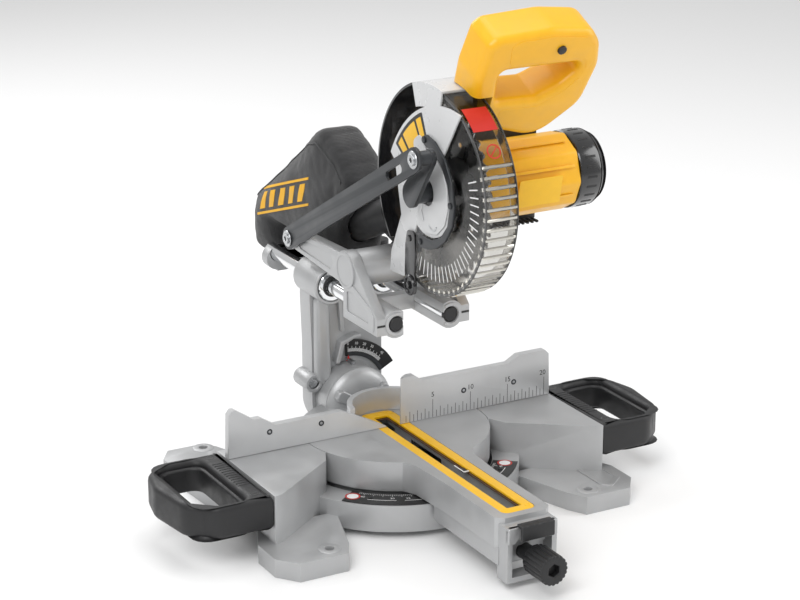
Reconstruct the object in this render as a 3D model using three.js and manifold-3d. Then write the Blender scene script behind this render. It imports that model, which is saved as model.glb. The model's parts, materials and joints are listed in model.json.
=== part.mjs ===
// Sliding compound miter saw, millimetres, +Z up, front of the saw towards -Y.
// The turntable's axis is X = Y = 0 while the parts are made; the finished group is then
// shifted so that its own box is centred over the origin. Heights inside the deck group
// are measured from the table top.
import * as THREE from "three";
import { mergeVertices } from "three/addons/utils/BufferGeometryUtils.js";
import Module from "manifold-3d";

const wasm = await Module();
wasm.setup();

// ---- driving dimensions -------------------------------------------------------------
const GAP = 0.35;                 // between touching pieces
const SLIP = 0.3;                 // radial clearance of a running fit
const TABLE_HEIGHT = 76;          // bench to table top
const FENCE_HALF = 207.5;
const FENCE_THICKNESS = 9;
const FENCE_LOW = 30;             // left fence, lowered for bevel cuts
const FENCE_MID = 48;
const FENCE_HIGH = 56;
const SEAT_DEPTH = 0.5;           // machined seat under the fence
const SEAT_X = 118;
const WING_FRONT = -115;
const WING_REAR = 30;
const WING_DEPTH = 60;
const CASTING_WALL = 6;
const FOOT_HEIGHT = 21;
const FOOT_REACH = 225;
const BOLT_HOLE_X = 163;
const BOLT_HOLE_FRONT = -153;
const BOLT_HOLE_REAR = 168;
const HANDLE_REACH = 309;         // outer end of the carrying handles
const HANDLE_DEPTH = 38;
const TURNTABLE_RADIUS = 108.5;
const TURNTABLE_SIDE = 34;        // visible height of its edge
const APRON_RADIUS = 142;
const APRON_TOP = -37;
const ARM_HALF = 33;
const ARM_FRONT = -281;
const ARM_DROP = 53;              // underside of the arm, above the feet
const END_DROP = 68;              // frame at the arm's front end
const KERF_HALF = 20;
const KERF_FRONT = -271;
const KERF_REAR = 47;
const KERF_THICKNESS = 3;
const SLOT_HALF = 9;
const LOCK_KNOB_Z = -42;
const LOCK_KNOB_FRONT = -338;
const LOCK_KNOB_RADIUS = 17;
const HUB_RADIUS = 42;            // bevel hub on the turntable
const HUB_FRONT = 88;
const COLUMN_FRONT = 115;
const COLUMN_REAR = 140;
const COLUMN_HALF = 46;
const BLOCK_FRONT = 86;
const RAIL_X = 34;
const RAIL_Z = 148;
const RAIL_RADIUS = 9;
const RAIL_FRONT = -61;
const RAIL_REAR = 240;
const BUSH_RADIUS = 18;
const BOSS_RADIUS = 22;           // bearing block round each rail
const STOP_X = 47;                // bevel stop screw beside the hub
const STOP_Z = 24;
const KNOB_X = 44;                // rail lock knob on the right boss
const KNOB_Y = 118;
const CHEEK_OUTER = 58;           // side plates of the carriage
const CHEEK_INNER = 46;
const PASSAGE_HALF = 25.2;        // the guards drop between the rails here
const LOCK_PIN_Y = -34;
const LOCK_PIN_Z = 175;
const PIVOT_Y = 6;                // head pivot
const PIVOT_Z = 193;
const PIVOT_PIN_RADIUS = 8;
const PIVOT_HUB_RADIUS = 22;
const HORN_Y = 137;               // rear pivot of the guard link
const HORN_Z = 195;
const SWING = 84;                 // degrees from head up to full depth
const ARBOR_Y = -115;             // blade centre with the head up
const ARBOR_Z = 308;
const BLADE_RADIUS = 92;
const BLADE_THICKNESS = 1.8;
const BORE_RADIUS = 8;
const GUARD_RADIUS = 112;         // lower guard, outside
const GUARD_HALF = 19;
const GUARD_WALL = 1.6;
const GUARD_BORE = 34;
const GUARD_START = -108;         // degrees from straight ahead, up is positive
const GUARD_END = 78;
const PLATE_LEFT = -22.4;         // outside of the upper guard plate
const PLATE_WALL = 2;
const RING_RADIUS = 49;
const SHROUD_RADIUS = 116;
const SHROUD_WALL = 2.5;
const MOTOR_Y = -86;
const MOTOR_Z = 301;
const MOTOR_RADIUS = 44;
const PINION_RADIUS = 9;
const GEAR_CASE_LEFT = 25.2;
const GEAR_CASE_RIGHT = 62;
const GEAR_CASE_RADIUS = 36;      // round the arbor
const MOTOR_RIGHT = 160;
const CAP_RIGHT = 200;
const LEVER_RADIUS = 64;          // guard lever, axis to link pin
const LEVER_ANGLE = 129;          // from straight back, anticlockwise seen from the right
const LINK_LEFT = -63.5;
const LINK_THICKNESS = 3.5;
const LINK_HALF = 13;
const GRIP_Y = -170;              // centre line of the grip
const GRIP_Z = 480;
const HANDLE_LEAN = 26.7;         // degrees, forward at the top
const HANDLE_HALF = 24;
const TUBE_RADIUS = 19;           // dust port
const TUBE_WALL = 2.5;
const BAG_HALF = 30;
const ROUND_SIDES = 72;            // sides of the large round faces
const GUARD_STEPS = 36;

// ---- helpers ------------------------------------------------------------------------
const rad = THREE.MathUtils.degToRad;
const V = (x, y, z) => new THREE.Vector3(x, y, z);
const AXES = {
  X: [V(0, 1, 0), V(0, 0, 1), V(1, 0, 0)],      // outline (y, z), depth along +X
  Y: [V(0, 0, 1), V(1, 0, 0), V(0, 1, 0)],      // outline (z, x), depth along +Y
  Z: [V(1, 0, 0), V(0, 1, 0), V(0, 0, 1)],      // outline (x, y), depth along +Z
};

function body(geometry) {
  const bare = geometry.clone();
  bare.deleteAttribute("normal");
  bare.deleteAttribute("uv");
  const merged = mergeVertices(bare, 1e-4);
  return new wasm.Manifold(new wasm.Mesh({
    numProp: 3,
    vertProperties: Float32Array.from(merged.attributes.position.array),
    triVerts: Uint32Array.from(merged.index.array),
  }));
}

function frameOf(axis, along, a = 0, b = 0) {
  const [u, v, w] = AXES[axis];
  const matrix = new THREE.Matrix4().makeBasis(u, v, w);
  const offset = u.clone().multiplyScalar(a).addScaledVector(v, b).addScaledVector(w, along);
  return matrix.setPosition(offset);
}

function shapeOf(outline) {
  if (outline instanceof THREE.Shape) return outline;
  return new THREE.Shape(outline.map(([a, b]) => new THREE.Vector2(a, b)));
}

// an outline pushed along an axis from one place to another
function slab(axis, outline, from, to, options = {}) {
  const { bevel = 0, steps = 6 } = options;
  const geometry = new THREE.ExtrudeGeometry(shapeOf(outline), {
    depth: to - from - 2 * bevel, bevelEnabled: bevel > 0, bevelThickness: bevel,
    bevelSize: bevel, bevelOffset: -bevel, bevelSegments: 2, curveSegments: steps,
  });
  return body(geometry.applyMatrix4(frameOf(axis, from + bevel)));
}

function box(x0, x1, y0, y1, z0, z1) {
  const geometry = new THREE.BoxGeometry(x1 - x0, y1 - y0, z1 - z0);
  return body(geometry.translate((x0 + x1) / 2, (y0 + y1) / 2, (z0 + z1) / 2));
}

// a round bar along an axis; a and b are its centre in that axis' outline plane
function rod(axis, radius, from, to, a = 0, b = 0, sides = 24, endRadius = radius) {
  const geometry = new THREE.CylinderGeometry(endRadius, radius, to - from, sides);
  geometry.rotateX(Math.PI / 2).translate(0, 0, (to - from) / 2);
  return body(geometry.applyMatrix4(frameOf(axis, from, a, b)));
}

const ring = (axis, outer, inner, from, to, a = 0, b = 0, sides = 24) =>
  rod(axis, outer, from, to, a, b, sides).subtract(rod(axis, inner, from - 1, to + 1, a, b, sides));

// wedge of an annulus, angles in degrees in the outline plane of the axis
function sector(axis, inner, outer, start, end, from, to, a = 0, b = 0, steps = 18) {
  const shape = new THREE.Shape();
  shape.absarc(a, b, outer, rad(start), rad(end), false);
  shape.absarc(a, b, inner, rad(end), rad(start), true);
  return slab(axis, shape, from, to, { steps });
}

// outline tangent to two circles, as a link bar or a web
function strap(y0, z0, r0, y1, z1, r1) {
  const along = Math.atan2(z1 - z0, y1 - y0);
  const spread = Math.acos((r0 - r1) / Math.hypot(y1 - y0, z1 - z0));
  const shape = new THREE.Shape();
  shape.absarc(y0, z0, r0, along + spread, along - spread, false);
  shape.absarc(y1, z1, r1, along - spread, along + spread, false);
  return shape;
}

function roundedRectangle(x0, x1, y0, y1, r) {
  const shape = new THREE.Shape();
  shape.absarc(x1 - r, y0 + r, r, -Math.PI / 2, 0, false);
  shape.absarc(x1 - r, y1 - r, r, 0, Math.PI / 2, false);
  shape.absarc(x0 + r, y1 - r, r, Math.PI / 2, Math.PI, false);
  shape.absarc(x0 + r, y0 + r, r, Math.PI, 1.5 * Math.PI, false);
  return shape;
}

const mirrored = (outline, side) => outline.map(([x, y]) => [x * side, y]);
const join = (solids) => solids.reduce((whole, next) => whole.add(next));

const paint = (color, roughness, metalness) =>
  new THREE.MeshStandardMaterial({ color, roughness, metalness });
const LOOKS = {
  casting: () => paint(0xb9bbbc, 0.45, 0.6),
  black: () => paint(0x1c1d1f, 0.6, 0),
  yellow: () => paint(0xf2b41b, 0.45, 0),
  chrome: () => paint(0xd8dadd, 0.12, 1),
  steel: () => paint(0x8d9094, 0.35, 0.9),
  darkSteel: () => paint(0x4b4e52, 0.4, 0.7),
  guardWhite: () => paint(0xd9dbda, 0.4, 0.2),
  smoke: () => paint(0x8f8f8a, 0.1, 0),
  fabric: () => paint(0x17181a, 0.95, 0),
};

function piece(group, name, solid, look) {
  const raw = solid.getMesh();
  const geometry = new THREE.BufferGeometry();
  geometry.setAttribute("position", new THREE.Float32BufferAttribute(raw.vertProperties, 3));
  geometry.setIndex(Array.from(raw.triVerts));
  const mesh = new THREE.Mesh(geometry, LOOKS[look]());
  mesh.name = name;
  group.add(mesh);
}

// ---- base ---------------------------------------------------------------------------
function wing(side) {
  const outline = [[60, WING_REAR], [60, -33], [TURNTABLE_RADIUS - 3, -33], [115, -53],
    [FENCE_HALF - 9, WING_FRONT + 2], [FENCE_HALF, WING_FRONT], [FENCE_HALF, WING_REAR]];
  const hollow = [[APRON_RADIUS, WING_REAR - CASTING_WALL], [APRON_RADIUS, -62],
    [FENCE_HALF - CASTING_WALL, WING_FRONT + 12], [FENCE_HALF - CASTING_WALL, WING_REAR - CASTING_WALL]];
  return slab("Z", mirrored(outline, side), -WING_DEPTH, 0)
    .subtract(slab("Z", mirrored(hollow, side), -WING_DEPTH - 1, -CASTING_WALL))
    .subtract(box(-FENCE_HALF - 1, FENCE_HALF + 1, -GAP, WING_REAR + 1, -SEAT_DEPTH, 1));
}

function foot(side, rear) {
  const front = [[112, -70], [FENCE_HALF, -70], [FOOT_REACH, -108], [FOOT_REACH, -148],
    [FOOT_REACH - 18, -172], [150, -172], [138, -150]];
  const back = [[112, 20], [134, 130], [148, 166], [165, 180], [203, 180], [218, 158], [FENCE_HALF, 20]];
  const outline = mirrored(rear ? back.slice().reverse() : front.slice(), side);
  const holeY = rear ? BOLT_HOLE_REAR : BOLT_HOLE_FRONT;
  const sole = slab("Z", outline, -TABLE_HEIGHT, FOOT_HEIGHT - TABLE_HEIGHT);
  return sole.subtract(rod("Z", 5, -TABLE_HEIGHT - 1, 0, side * BOLT_HOLE_X, holeY, 20));
}

function baseCasting() {
  const floorZ = -TABLE_HEIGHT + 8;
  const parts = [wing(1), wing(-1), foot(1, false), foot(-1, false), foot(1, true), foot(-1, true)];
  parts.push(rod("Z", APRON_RADIUS, floorZ, floorZ + CASTING_WALL, 0, 0, ROUND_SIDES));
  const front = [180, 360];
  const half = ROUND_SIDES / 2;
  parts.push(sector("Z", TURNTABLE_RADIUS + 3, APRON_RADIUS, ...front, APRON_TOP - 4, APRON_TOP, 0, 0, half));
  const rim = APRON_RADIUS - CASTING_WALL;
  parts.push(sector("Z", rim, APRON_RADIUS, ...front, floorZ, APRON_TOP - 1, 0, 0, half));
  const pit = rod("Z", TURNTABLE_RADIUS + 1, floorZ + CASTING_WALL, 1, 0, 0, ROUND_SIDES);
  return join(parts).subtract(pit).subtract(rod("Z", 8 + SLIP, floorZ - 1, 0, 0, 0, 24));
}

const fencePlate = (outline) => slab("Y", outline.map(([x, z]) => [z, x]), 0, FENCE_THICKNESS);
// foot strip in the machined seat, and the lug for the clamp screws behind it
function fenceFoot(side) {
  const sole = GAP - SEAT_DEPTH;
  const strip = slab("Z", mirrored([[SEAT_X, 1], [FENCE_HALF, 1], [FENCE_HALF, FENCE_THICKNESS],
    [SEAT_X, FENCE_THICKNESS]], side), sole, GAP + 1);
  return strip.add(box(side * 142 - 22, side * 142 + 22, FENCE_THICKNESS - 1, 24, sole, 12));
}

// the inner ends are cut back behind, for the blade at a full miter
const fenceRelief = (side) => slab("Z", mirrored([[6, 1.5], [8, 1.5], [20, 10], [6, 10]], side), 0, 60);

function fixedFence() {
  const right = [[8, GAP], [9, FENCE_HIGH - 1], [12, FENCE_HIGH], [26, FENCE_HIGH], [37, FENCE_MID],
    [151, FENCE_MID], [165, FENCE_HIGH], [201, FENCE_HIGH], [206, FENCE_HIGH - 5], [FENCE_HALF, GAP]];
  const bow = sector("Z", 46, 52, 0, 180, GAP, 27, 0, 4)
    .subtract(box(-60, -40, 0, FENCE_THICKNESS + GAP, 0, 60));
  return join([fencePlate(right).subtract(fenceRelief(1)), bow, fenceFoot(1)]);
}

// slides outwards to clear the tilted head
function slidingFence() {
  const left = [[-11, 2], [-67, FENCE_LOW], [-150, FENCE_LOW], [-167, 41], [-176, 41], [-198, FENCE_HIGH],
    [-202, FENCE_HIGH], [-206, FENCE_HIGH - 5], [-FENCE_HALF, GAP], [-10, GAP]];
  return fencePlate(left).subtract(fenceRelief(-1.4)).add(fenceFoot(-1));
}

function sideHandle(side) {
  const inner = FENCE_HALF + GAP;
  const outline = [[inner, 29], [inner, -114], [272, -114], [301, -88], [HANDLE_REACH, -28],
    [300, 12], [272, 29]];
  const hole = roundedRectangle(238, 284, -100, 14, 14);
  const cut = slab("Z", hole, -HANDLE_DEPTH - 1, 1, { steps: 4 });
  const grip = slab("Z", mirrored(outline, side), -HANDLE_DEPTH, -GAP, { bevel: 4 });
  return grip.subtract(side > 0 ? cut : cut.mirror([1, 0, 0]));
}

function makeBase(deck) {
  piece(deck, "base_casting", baseCasting(), "casting");
  piece(deck, "fence", fixedFence(), "guardWhite");
  piece(deck, "left_fence", slidingFence(), "guardWhite");
  piece(deck, "left_side_handle", sideHandle(-1), "black");
  piece(deck, "right_side_handle", sideHandle(1), "black");
  const strip = [TURNTABLE_RADIUS + 4, APRON_RADIUS - 1];
  const scale = sector("Z", ...strip, 217, 323, APRON_TOP + GAP, APRON_TOP + 1.5);
  piece(deck, "miter_scale", scale, "black");
  const floorZ = -TABLE_HEIGHT + 8;
  const bolt = join([rod("Z", 8, floorZ - 5, -28), rod("Z", 13, floorZ - 6, floorZ - GAP, 0, 0, 6)]);
  piece(deck, "turntable_pivot_bolt", bolt, "steel");
}

// ---- turntable ----------------------------------------------------------------------
function turntable() {
  const floorZ = -TABLE_HEIGHT + 8 + CASTING_WALL;
  const armStart = -APRON_RADIUS - 2;
  const fillet = [[-46, -96], [46, -96], [37, -114], [ARM_HALF + 2, -138], [ARM_HALF, -165],
    [ARM_HALF, ARM_FRONT + 8], [ARM_HALF - 8, ARM_FRONT], [-ARM_HALF + 8, ARM_FRONT],
    [-ARM_HALF, ARM_FRONT + 8], [-ARM_HALF, -165], [-ARM_HALF - 2, -138], [-37, -114]].reverse();
  const parts = [rod("Z", TURNTABLE_RADIUS, -TURNTABLE_SIDE, 0, 0, 0, ROUND_SIDES),
    rod("Z", TURNTABLE_RADIUS - 8, floorZ + GAP, -TURNTABLE_SIDE, 0, 0, 32),
    slab("Z", fillet, -TURNTABLE_SIDE, 0),
    box(-ARM_HALF + 2, ARM_HALF - 2, ARM_FRONT + 3, armStart, -ARM_DROP, -TURNTABLE_SIDE + 1),
    rod("Y", HUB_RADIUS, HUB_FRONT, COLUMN_FRONT - GAP, 0, 0, ROUND_SIDES)];
  const cheekX = ARM_HALF - 6;
  for (const side of [-1, 1]) {
    parts.push(box(side * cheekX - 3, side * cheekX + 3, ARM_FRONT - 14, ARM_FRONT + 6, -END_DROP, -6));
  }
  parts.push(box(-cheekX, cheekX, ARM_FRONT - 14, ARM_FRONT + 4, -20, -6));
  parts.push(box(-cheekX, cheekX, ARM_FRONT - 14, ARM_FRONT + 4, -END_DROP, -END_DROP + 6));
  const pocket = roundedRectangle(-KERF_HALF - GAP, KERF_HALF + GAP, KERF_FRONT - GAP, KERF_REAR + GAP, 8);
  const cuts = [slab("Z", pocket, -KERF_THICKNESS - GAP, 1),
    box(-SLOT_HALF - 2, SLOT_HALF + 2, KERF_FRONT + 6, KERF_REAR - 8, -24, 1),
    rod("Z", 8 + SLIP, -TABLE_HEIGHT, -26, 0, 0, 24),
    rod("Y", 9 + SLIP, ARM_FRONT - 20, -100, LOCK_KNOB_Z, 0, 24),
    rod("Y", 8 + SLIP, HUB_FRONT - 1, COLUMN_FRONT + 1, 0, 0, 20),
    rod("Y", 15, 70, HUB_FRONT + 12, 0, 0, 20),
    ring("Z", TURNTABLE_RADIUS - 20, 22, floorZ - 1, -CASTING_WALL * 2, 0, 0, 32),
    box(-ARM_HALF + 8, ARM_HALF - 8, ARM_FRONT + 10, armStart - 6, -ARM_DROP - 1, -28)];
  return cuts.reduce((whole, cut) => whole.subtract(cut), join(parts));
}

function kerfPlate() {
  const plate = roundedRectangle(-KERF_HALF, KERF_HALF, KERF_FRONT, KERF_REAR, 8);
  const slot = roundedRectangle(-SLOT_HALF, SLOT_HALF, KERF_FRONT + 12, KERF_REAR - 14, 2);
  return slab("Z", plate, -KERF_THICKNESS, -0.1).subtract(slab("Z", slot, -KERF_THICKNESS - 1, 1));
}

function lockKnob() {
  const grip = rod("Y", LOCK_KNOB_RADIUS, LOCK_KNOB_FRONT, ARM_FRONT - 18, LOCK_KNOB_Z, 0, 24);
  const hex = rod("Y", 7, LOCK_KNOB_FRONT - 1, LOCK_KNOB_FRONT + 9, LOCK_KNOB_Z, 0, 6);
  return grip.add(rod("Y", 9, ARM_FRONT - 19, -APRON_RADIUS - 1, LOCK_KNOB_Z, 0, 24)).subtract(hex);
}

function makeTurntable(deck) {
  piece(deck, "turntable", turntable(), "casting");
  piece(deck, "kerf_plate", kerfPlate(), "yellow");
  const pointer = box(-3, 3, -132, -112, -TURNTABLE_SIDE - 1.4, -TURNTABLE_SIDE - GAP);
  piece(deck, "miter_pointer", pointer, "steel");
  piece(deck, "miter_lock_knob", lockKnob(), "black");
  const paddle = join([box(-20, 20, ARM_FRONT - 26, ARM_FRONT - 15, -5, -1),
    box(-20, 20, ARM_FRONT - 26, ARM_FRONT - 22, -18, -2)]);
  piece(deck, "miter_latch", paddle, "black");
  const bolt = join([rod("Y", 8, HUB_FRONT + 4, COLUMN_REAR + 4, 0, 0, 20),
    rod("Y", 13, HUB_FRONT + 2, HUB_FRONT + 12 - GAP, 0, 0, 6)]);
  piece(deck, "bevel_pivot_bolt", bolt, "steel");
  const needle = box(-2, 2, HUB_FRONT + 10, COLUMN_FRONT - 1, HUB_RADIUS + GAP, HUB_RADIUS + 4);
  piece(deck, "bevel_pointer", needle, "steel");
}

// ---- bevel column with the rail bearings --------------------------------------------
function column() {
  const web = [[0, COLUMN_HALF], [67, COLUMN_HALF], [RAIL_Z - 26, RAIL_X + 14], [RAIL_Z + 4, RAIL_X + 14],
    [RAIL_Z + 4, -RAIL_X - 14], [RAIL_Z - 26, -RAIL_X - 14], [67, -COLUMN_HALF], [0, -COLUMN_HALF]].reverse();
  const parts = [slab("Y", web, COLUMN_FRONT, COLUMN_REAR),
    rod("Y", COLUMN_HALF, COLUMN_FRONT, COLUMN_REAR, 0, 0, ROUND_SIDES)];
  for (const side of [-1, 1]) {
    parts.push(rod("Y", BOSS_RADIUS, BLOCK_FRONT, COLUMN_REAR, RAIL_Z, side * RAIL_X, 32));
  }
  parts.push(box(-RAIL_X, RAIL_X, BLOCK_FRONT, COLUMN_REAR, RAIL_Z - 14, RAIL_Z + BOSS_RADIUS - 2));
  parts.push(rod("Y", 11, COLUMN_FRONT, COLUMN_REAR, STOP_Z, -STOP_X, 20));
  const cuts = [-1, 1].map((side) =>
    rod("Y", BUSH_RADIUS + GAP, BLOCK_FRONT - 1, COLUMN_REAR + 1, RAIL_Z, side * RAIL_X, 24));
  cuts.push(rod("Y", 8 + SLIP, COLUMN_FRONT - 1, COLUMN_REAR + 1, 0, 0, 24));
  cuts.push(rod("Z", 4 + SLIP, RAIL_Z + 12, RAIL_Z + 40, KNOB_X, KNOB_Y, 16));
  cuts.push(rod("Y", 4.5, COLUMN_FRONT - 1, COLUMN_REAR + 1, STOP_Z, -STOP_X, 16));
  return cuts.reduce((whole, cut) => whole.subtract(cut), join(parts));
}

function bevelScale() {
  const inner = HUB_RADIUS + 6;
  return sector("Y", inner, 68, -3, 62, COLUMN_FRONT - 3, COLUMN_FRONT - GAP);
}

function clampLever() {
  const hubY = COLUMN_REAR + 5 + GAP;
  const stem = slab("Y", strap(0, 0, 10, 88, -20, 6), hubY, hubY + 14, { steps: 8 });
  const tip = body(new THREE.SphereGeometry(9, 12, 8).translate(-20, hubY + 7, 88));
  return join([stem, tip, rod("Y", 12, hubY, hubY + 22, 0, 0, 24)]);
}

function makeColumn(deck) {
  piece(deck, "bevel_column", column(), "casting");
  piece(deck, "bevel_scale", bevelScale(), "black");
  for (const [name, side] of [["left", -1], ["right", 1]]) {
    const bore = RAIL_RADIUS + SLIP;
    const bush = (from, to) => ring("Y", BUSH_RADIUS, bore, from, to, RAIL_Z, side * RAIL_X, 20);
    piece(deck, `${name}_front_bush`, bush(BLOCK_FRONT - 2, BLOCK_FRONT + 22), "chrome");
    piece(deck, `${name}_rear_bush`, bush(COLUMN_REAR - 22, COLUMN_REAR), "chrome");
  }
  const stop = join([rod("Y", 4.2, COLUMN_FRONT - 2, COLUMN_REAR - 4, STOP_Z, -STOP_X, 12),
    rod("Y", 7, COLUMN_FRONT - 6, COLUMN_FRONT - GAP, STOP_Z, -STOP_X, 6)]);
  piece(deck, "bevel_stop_screw", stop, "steel");
  piece(deck, "bevel_clamp_lever", clampLever(), "black");
  const knobBase = RAIL_Z + BOSS_RADIUS;
  const knob = join([rod("Z", 12, knobBase + 1, knobBase + 14, KNOB_X, KNOB_Y, 12),
    rod("Z", 4, knobBase - 4, knobBase + 2, KNOB_X, KNOB_Y, 16)]);
  piece(deck, "rail_lock_knob", knob, "black");
}

// ---- carriage -----------------------------------------------------------------------
function cheek(side) {
  const from = side < 0 ? -CHEEK_OUTER : CHEEK_INNER;
  const to = side < 0 ? -CHEEK_INNER : CHEEK_OUTER;
  const leg = [[12, RAIL_Z - 11], [12, PIVOT_Z - 18], [PIVOT_Y + 14, PIVOT_Z + 8],
    [PIVOT_Y - 14, PIVOT_Z + 16], [-50, RAIL_Z + 22], [-66, RAIL_Z + 8], [-66, RAIL_Z - 11]];
  const parts = [slab("X", leg, from, to), rod("X", PIVOT_HUB_RADIUS, from, to, PIVOT_Y, PIVOT_Z)];
  const horn = strap(PIVOT_Y, PIVOT_Z, 18, HORN_Y, HORN_Z, 11);
  if (side < 0) parts.push(slab("X", horn, from, to, { steps: 10 }));
  return join(parts);
}

function carriage() {
  const parts = [cheek(-1), cheek(1)];
  for (const side of [-1, 1]) parts.push(rod("Y", 16, -66, 12, RAIL_Z, side * RAIL_X, 20));
  parts.push(box(-CHEEK_OUTER, CHEEK_OUTER, -10, 12, RAIL_Z - 11, RAIL_Z + 8));
  const cuts = [-1, 1].map((side) => rod("Y", RAIL_RADIUS + SLIP, -70, 20, RAIL_Z, side * RAIL_X, 20));
  cuts.push(rod("X", PIVOT_PIN_RADIUS + SLIP, -CHEEK_OUTER - 1, CHEEK_OUTER + 1, PIVOT_Y, PIVOT_Z, 24));
  cuts.push(rod("X", 5 + SLIP, -CHEEK_OUTER - 1, -CHEEK_INNER + 1, HORN_Y, HORN_Z, 20));
  cuts.push(rod("X", 5 + SLIP, CHEEK_INNER - 1, CHEEK_OUTER + 1, LOCK_PIN_Y, LOCK_PIN_Z, 16));
  cuts.push(rod("X", 17, -CHEEK_OUTER - 1, -CHEEK_OUTER + 4, PIVOT_Y, PIVOT_Z, 28));
  cuts.push(box(-PASSAGE_HALF, PASSAGE_HALF, -70, 0, RAIL_Z - 30, PIVOT_Z));
  return cuts.reduce((whole, cut) => whole.subtract(cut), join(parts));
}

function railBracket() {
  const bar = box(-RAIL_X, RAIL_X, RAIL_REAR - 14, RAIL_REAR, RAIL_Z - 22, RAIL_Z - 10);
  const rings = [-1, 1].map((side) => rod("Y", 14, RAIL_REAR - 14, RAIL_REAR, RAIL_Z - 6, side * RAIL_X, 24));
  const bores = [-1, 1].map((side) =>
    rod("Y", RAIL_RADIUS + SLIP, RAIL_REAR - 15, RAIL_REAR + 1, RAIL_Z, side * RAIL_X, 20));
  return bores.reduce((whole, bore) => whole.subtract(bore), join([bar, ...rings]));
}

function makeCarriage(deck) {
  piece(deck, "carriage", carriage(), "casting");
  for (const [name, side] of [["left", -1], ["right", 1]]) {
    const bar = (from, to) => rod("Y", RAIL_RADIUS, from, to, RAIL_Z, side * RAIL_X, 20);
    piece(deck, `${name}_rail`, bar(RAIL_FRONT, RAIL_REAR + 3), "chrome");
    piece(deck, `${name}_rail_plug`, bar(RAIL_FRONT - 4, RAIL_FRONT - GAP), "black");
  }
  piece(deck, "rear_rail_bracket", railBracket(), "casting");
  const pivot = rod("X", PIVOT_PIN_RADIUS, -CHEEK_OUTER + 2, CHEEK_OUTER, PIVOT_Y, PIVOT_Z, 24);
  piece(deck, "head_pivot_pin", pivot, "steel");
  const pin = join([rod("X", 5, CHEEK_INNER - 0.5, CHEEK_OUTER + 10, LOCK_PIN_Y, LOCK_PIN_Z, 16),
    rod("X", 8, CHEEK_OUTER + 9, CHEEK_OUTER + 20, LOCK_PIN_Y, LOCK_PIN_Z, 16)]);
  piece(deck, "lock_down_pin", pin, "black");
  const bolt = join([rod("X", 5, LINK_LEFT - 1, -CHEEK_INNER - 1, HORN_Y, HORN_Z, 16),
    rod("X", 8, LINK_LEFT - 4, LINK_LEFT - GAP, HORN_Y, HORN_Z, 12)]);
  piece(deck, "link_rear_bolt", bolt, "steel");
}

// ---- cutting head -------------------------------------------------------------------
// turns a solid drawn with the head at full depth back to the raised position
function swungUp(solid) {
  const place = new THREE.Matrix4().makeTranslation(0, PIVOT_Y, PIVOT_Z)
    .multiply(new THREE.Matrix4().makeRotationX(rad(-SWING)))
    .multiply(new THREE.Matrix4().makeTranslation(0, -PIVOT_Y, -PIVOT_Z));
  return solid.transform(place.toArray());
}

// reaches over the right rail before it drops to the gear case
function headArm() {
  const reach = CHEEK_INNER - 1;
  const hub = rod("X", PIVOT_HUB_RADIUS - 1, -reach, reach, PIVOT_Y, PIVOT_Z, 36);
  const top = PIVOT_Z + PIVOT_HUB_RADIUS - 1;
  const under = RAIL_Z + 19;
  const nose = RAIL_FRONT - 11;
  const outline = [[PIVOT_Y, under + 5], [PIVOT_Y + 12, PIVOT_Z], [PIVOT_Y, top], [nose, top - 2],
    [-105, top - 19], [-135, RAIL_Z + 12], [-135, 120], [nose, 118], [nose, under - 8], [nose + 8, under]];
  const web = slab("X", outline, GEAR_CASE_LEFT, reach);
  const pinHole = rod("X", 6, reach - 10, reach + 1, LOCK_PIN_Y, LOCK_PIN_Z, 16);
  const bore = rod("X", PIVOT_PIN_RADIUS + SLIP, -CHEEK_INNER, CHEEK_INNER, PIVOT_Y, PIVOT_Z, 24);
  const casing = strap(ARBOR_Y, ARBOR_Z, GEAR_CASE_RADIUS + GAP, MOTOR_Y, MOTOR_Z, MOTOR_RADIUS + GAP);
  const recess = slab("X", casing, GEAR_CASE_LEFT - 1, CHEEK_INNER, { steps: 16 });
  return swungUp(web.subtract(pinHole)).add(hub).subtract(bore).subtract(recess);
}

// white plate at the left of the blade, with its rounded top edge
function upperGuard() {
  const shape = new THREE.Shape();
  const centreY = ARBOR_Y - 38;
  const centreZ = ARBOR_Z - 37;
  shape.absarc(centreY, centreZ, 135, rad(101), rad(27), true);
  for (const [y, z] of [[-42, 325], [-56, 268], [-34, 222], [-31, 198]]) shape.lineTo(y, z);
  for (const [y, z] of [[-62, 200], [ARBOR_Y + 20, ARBOR_Z - 30]]) shape.lineTo(y, z);
  const plate = slab("X", shape, PLATE_LEFT, PLATE_LEFT + PLATE_WALL, { steps: GUARD_STEPS });
  const disc = rod("X", RING_RADIUS, PLATE_LEFT, PLATE_LEFT + PLATE_WALL, ARBOR_Y, ARBOR_Z, 48);
  const at = [ARBOR_Y, ARBOR_Z];
  const lip = sector("X", SHROUD_RADIUS - SHROUD_WALL, SHROUD_RADIUS, 72, 103, PLATE_LEFT, 24, ...at, 10);
  const tie = sector("X", 90, SHROUD_RADIUS, 72, 103, PLATE_LEFT, PLATE_LEFT + PLATE_WALL, ...at, 10);
  return join([plate, disc, lip, tie]).subtract(rod("X", 16, -40, 0, ARBOR_Y, ARBOR_Z, 28));
}

// black shell over the back of the blade; the duct leaves it towards the dust port
function guardShroud() {
  const from = PLATE_LEFT + PLATE_WALL + GAP;
  const at = [ARBOR_Y, ARBOR_Z];
  const inner = SHROUD_RADIUS - SHROUD_WALL;
  const rim = sector("X", inner, SHROUD_RADIUS, -40, 71.5, from, 24, ...at, GUARD_STEPS);
  const right = sector("X", 62, SHROUD_RADIUS, -40, 103, 22, 24.5, ...at, GUARD_STEPS);
  const lipRoom = sector("X", inner - 0.5, SHROUD_RADIUS + 1, 71, 104, 21, 26, ...at, 10);
  return join([rim, right.subtract(lipRoom)]);
}

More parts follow.
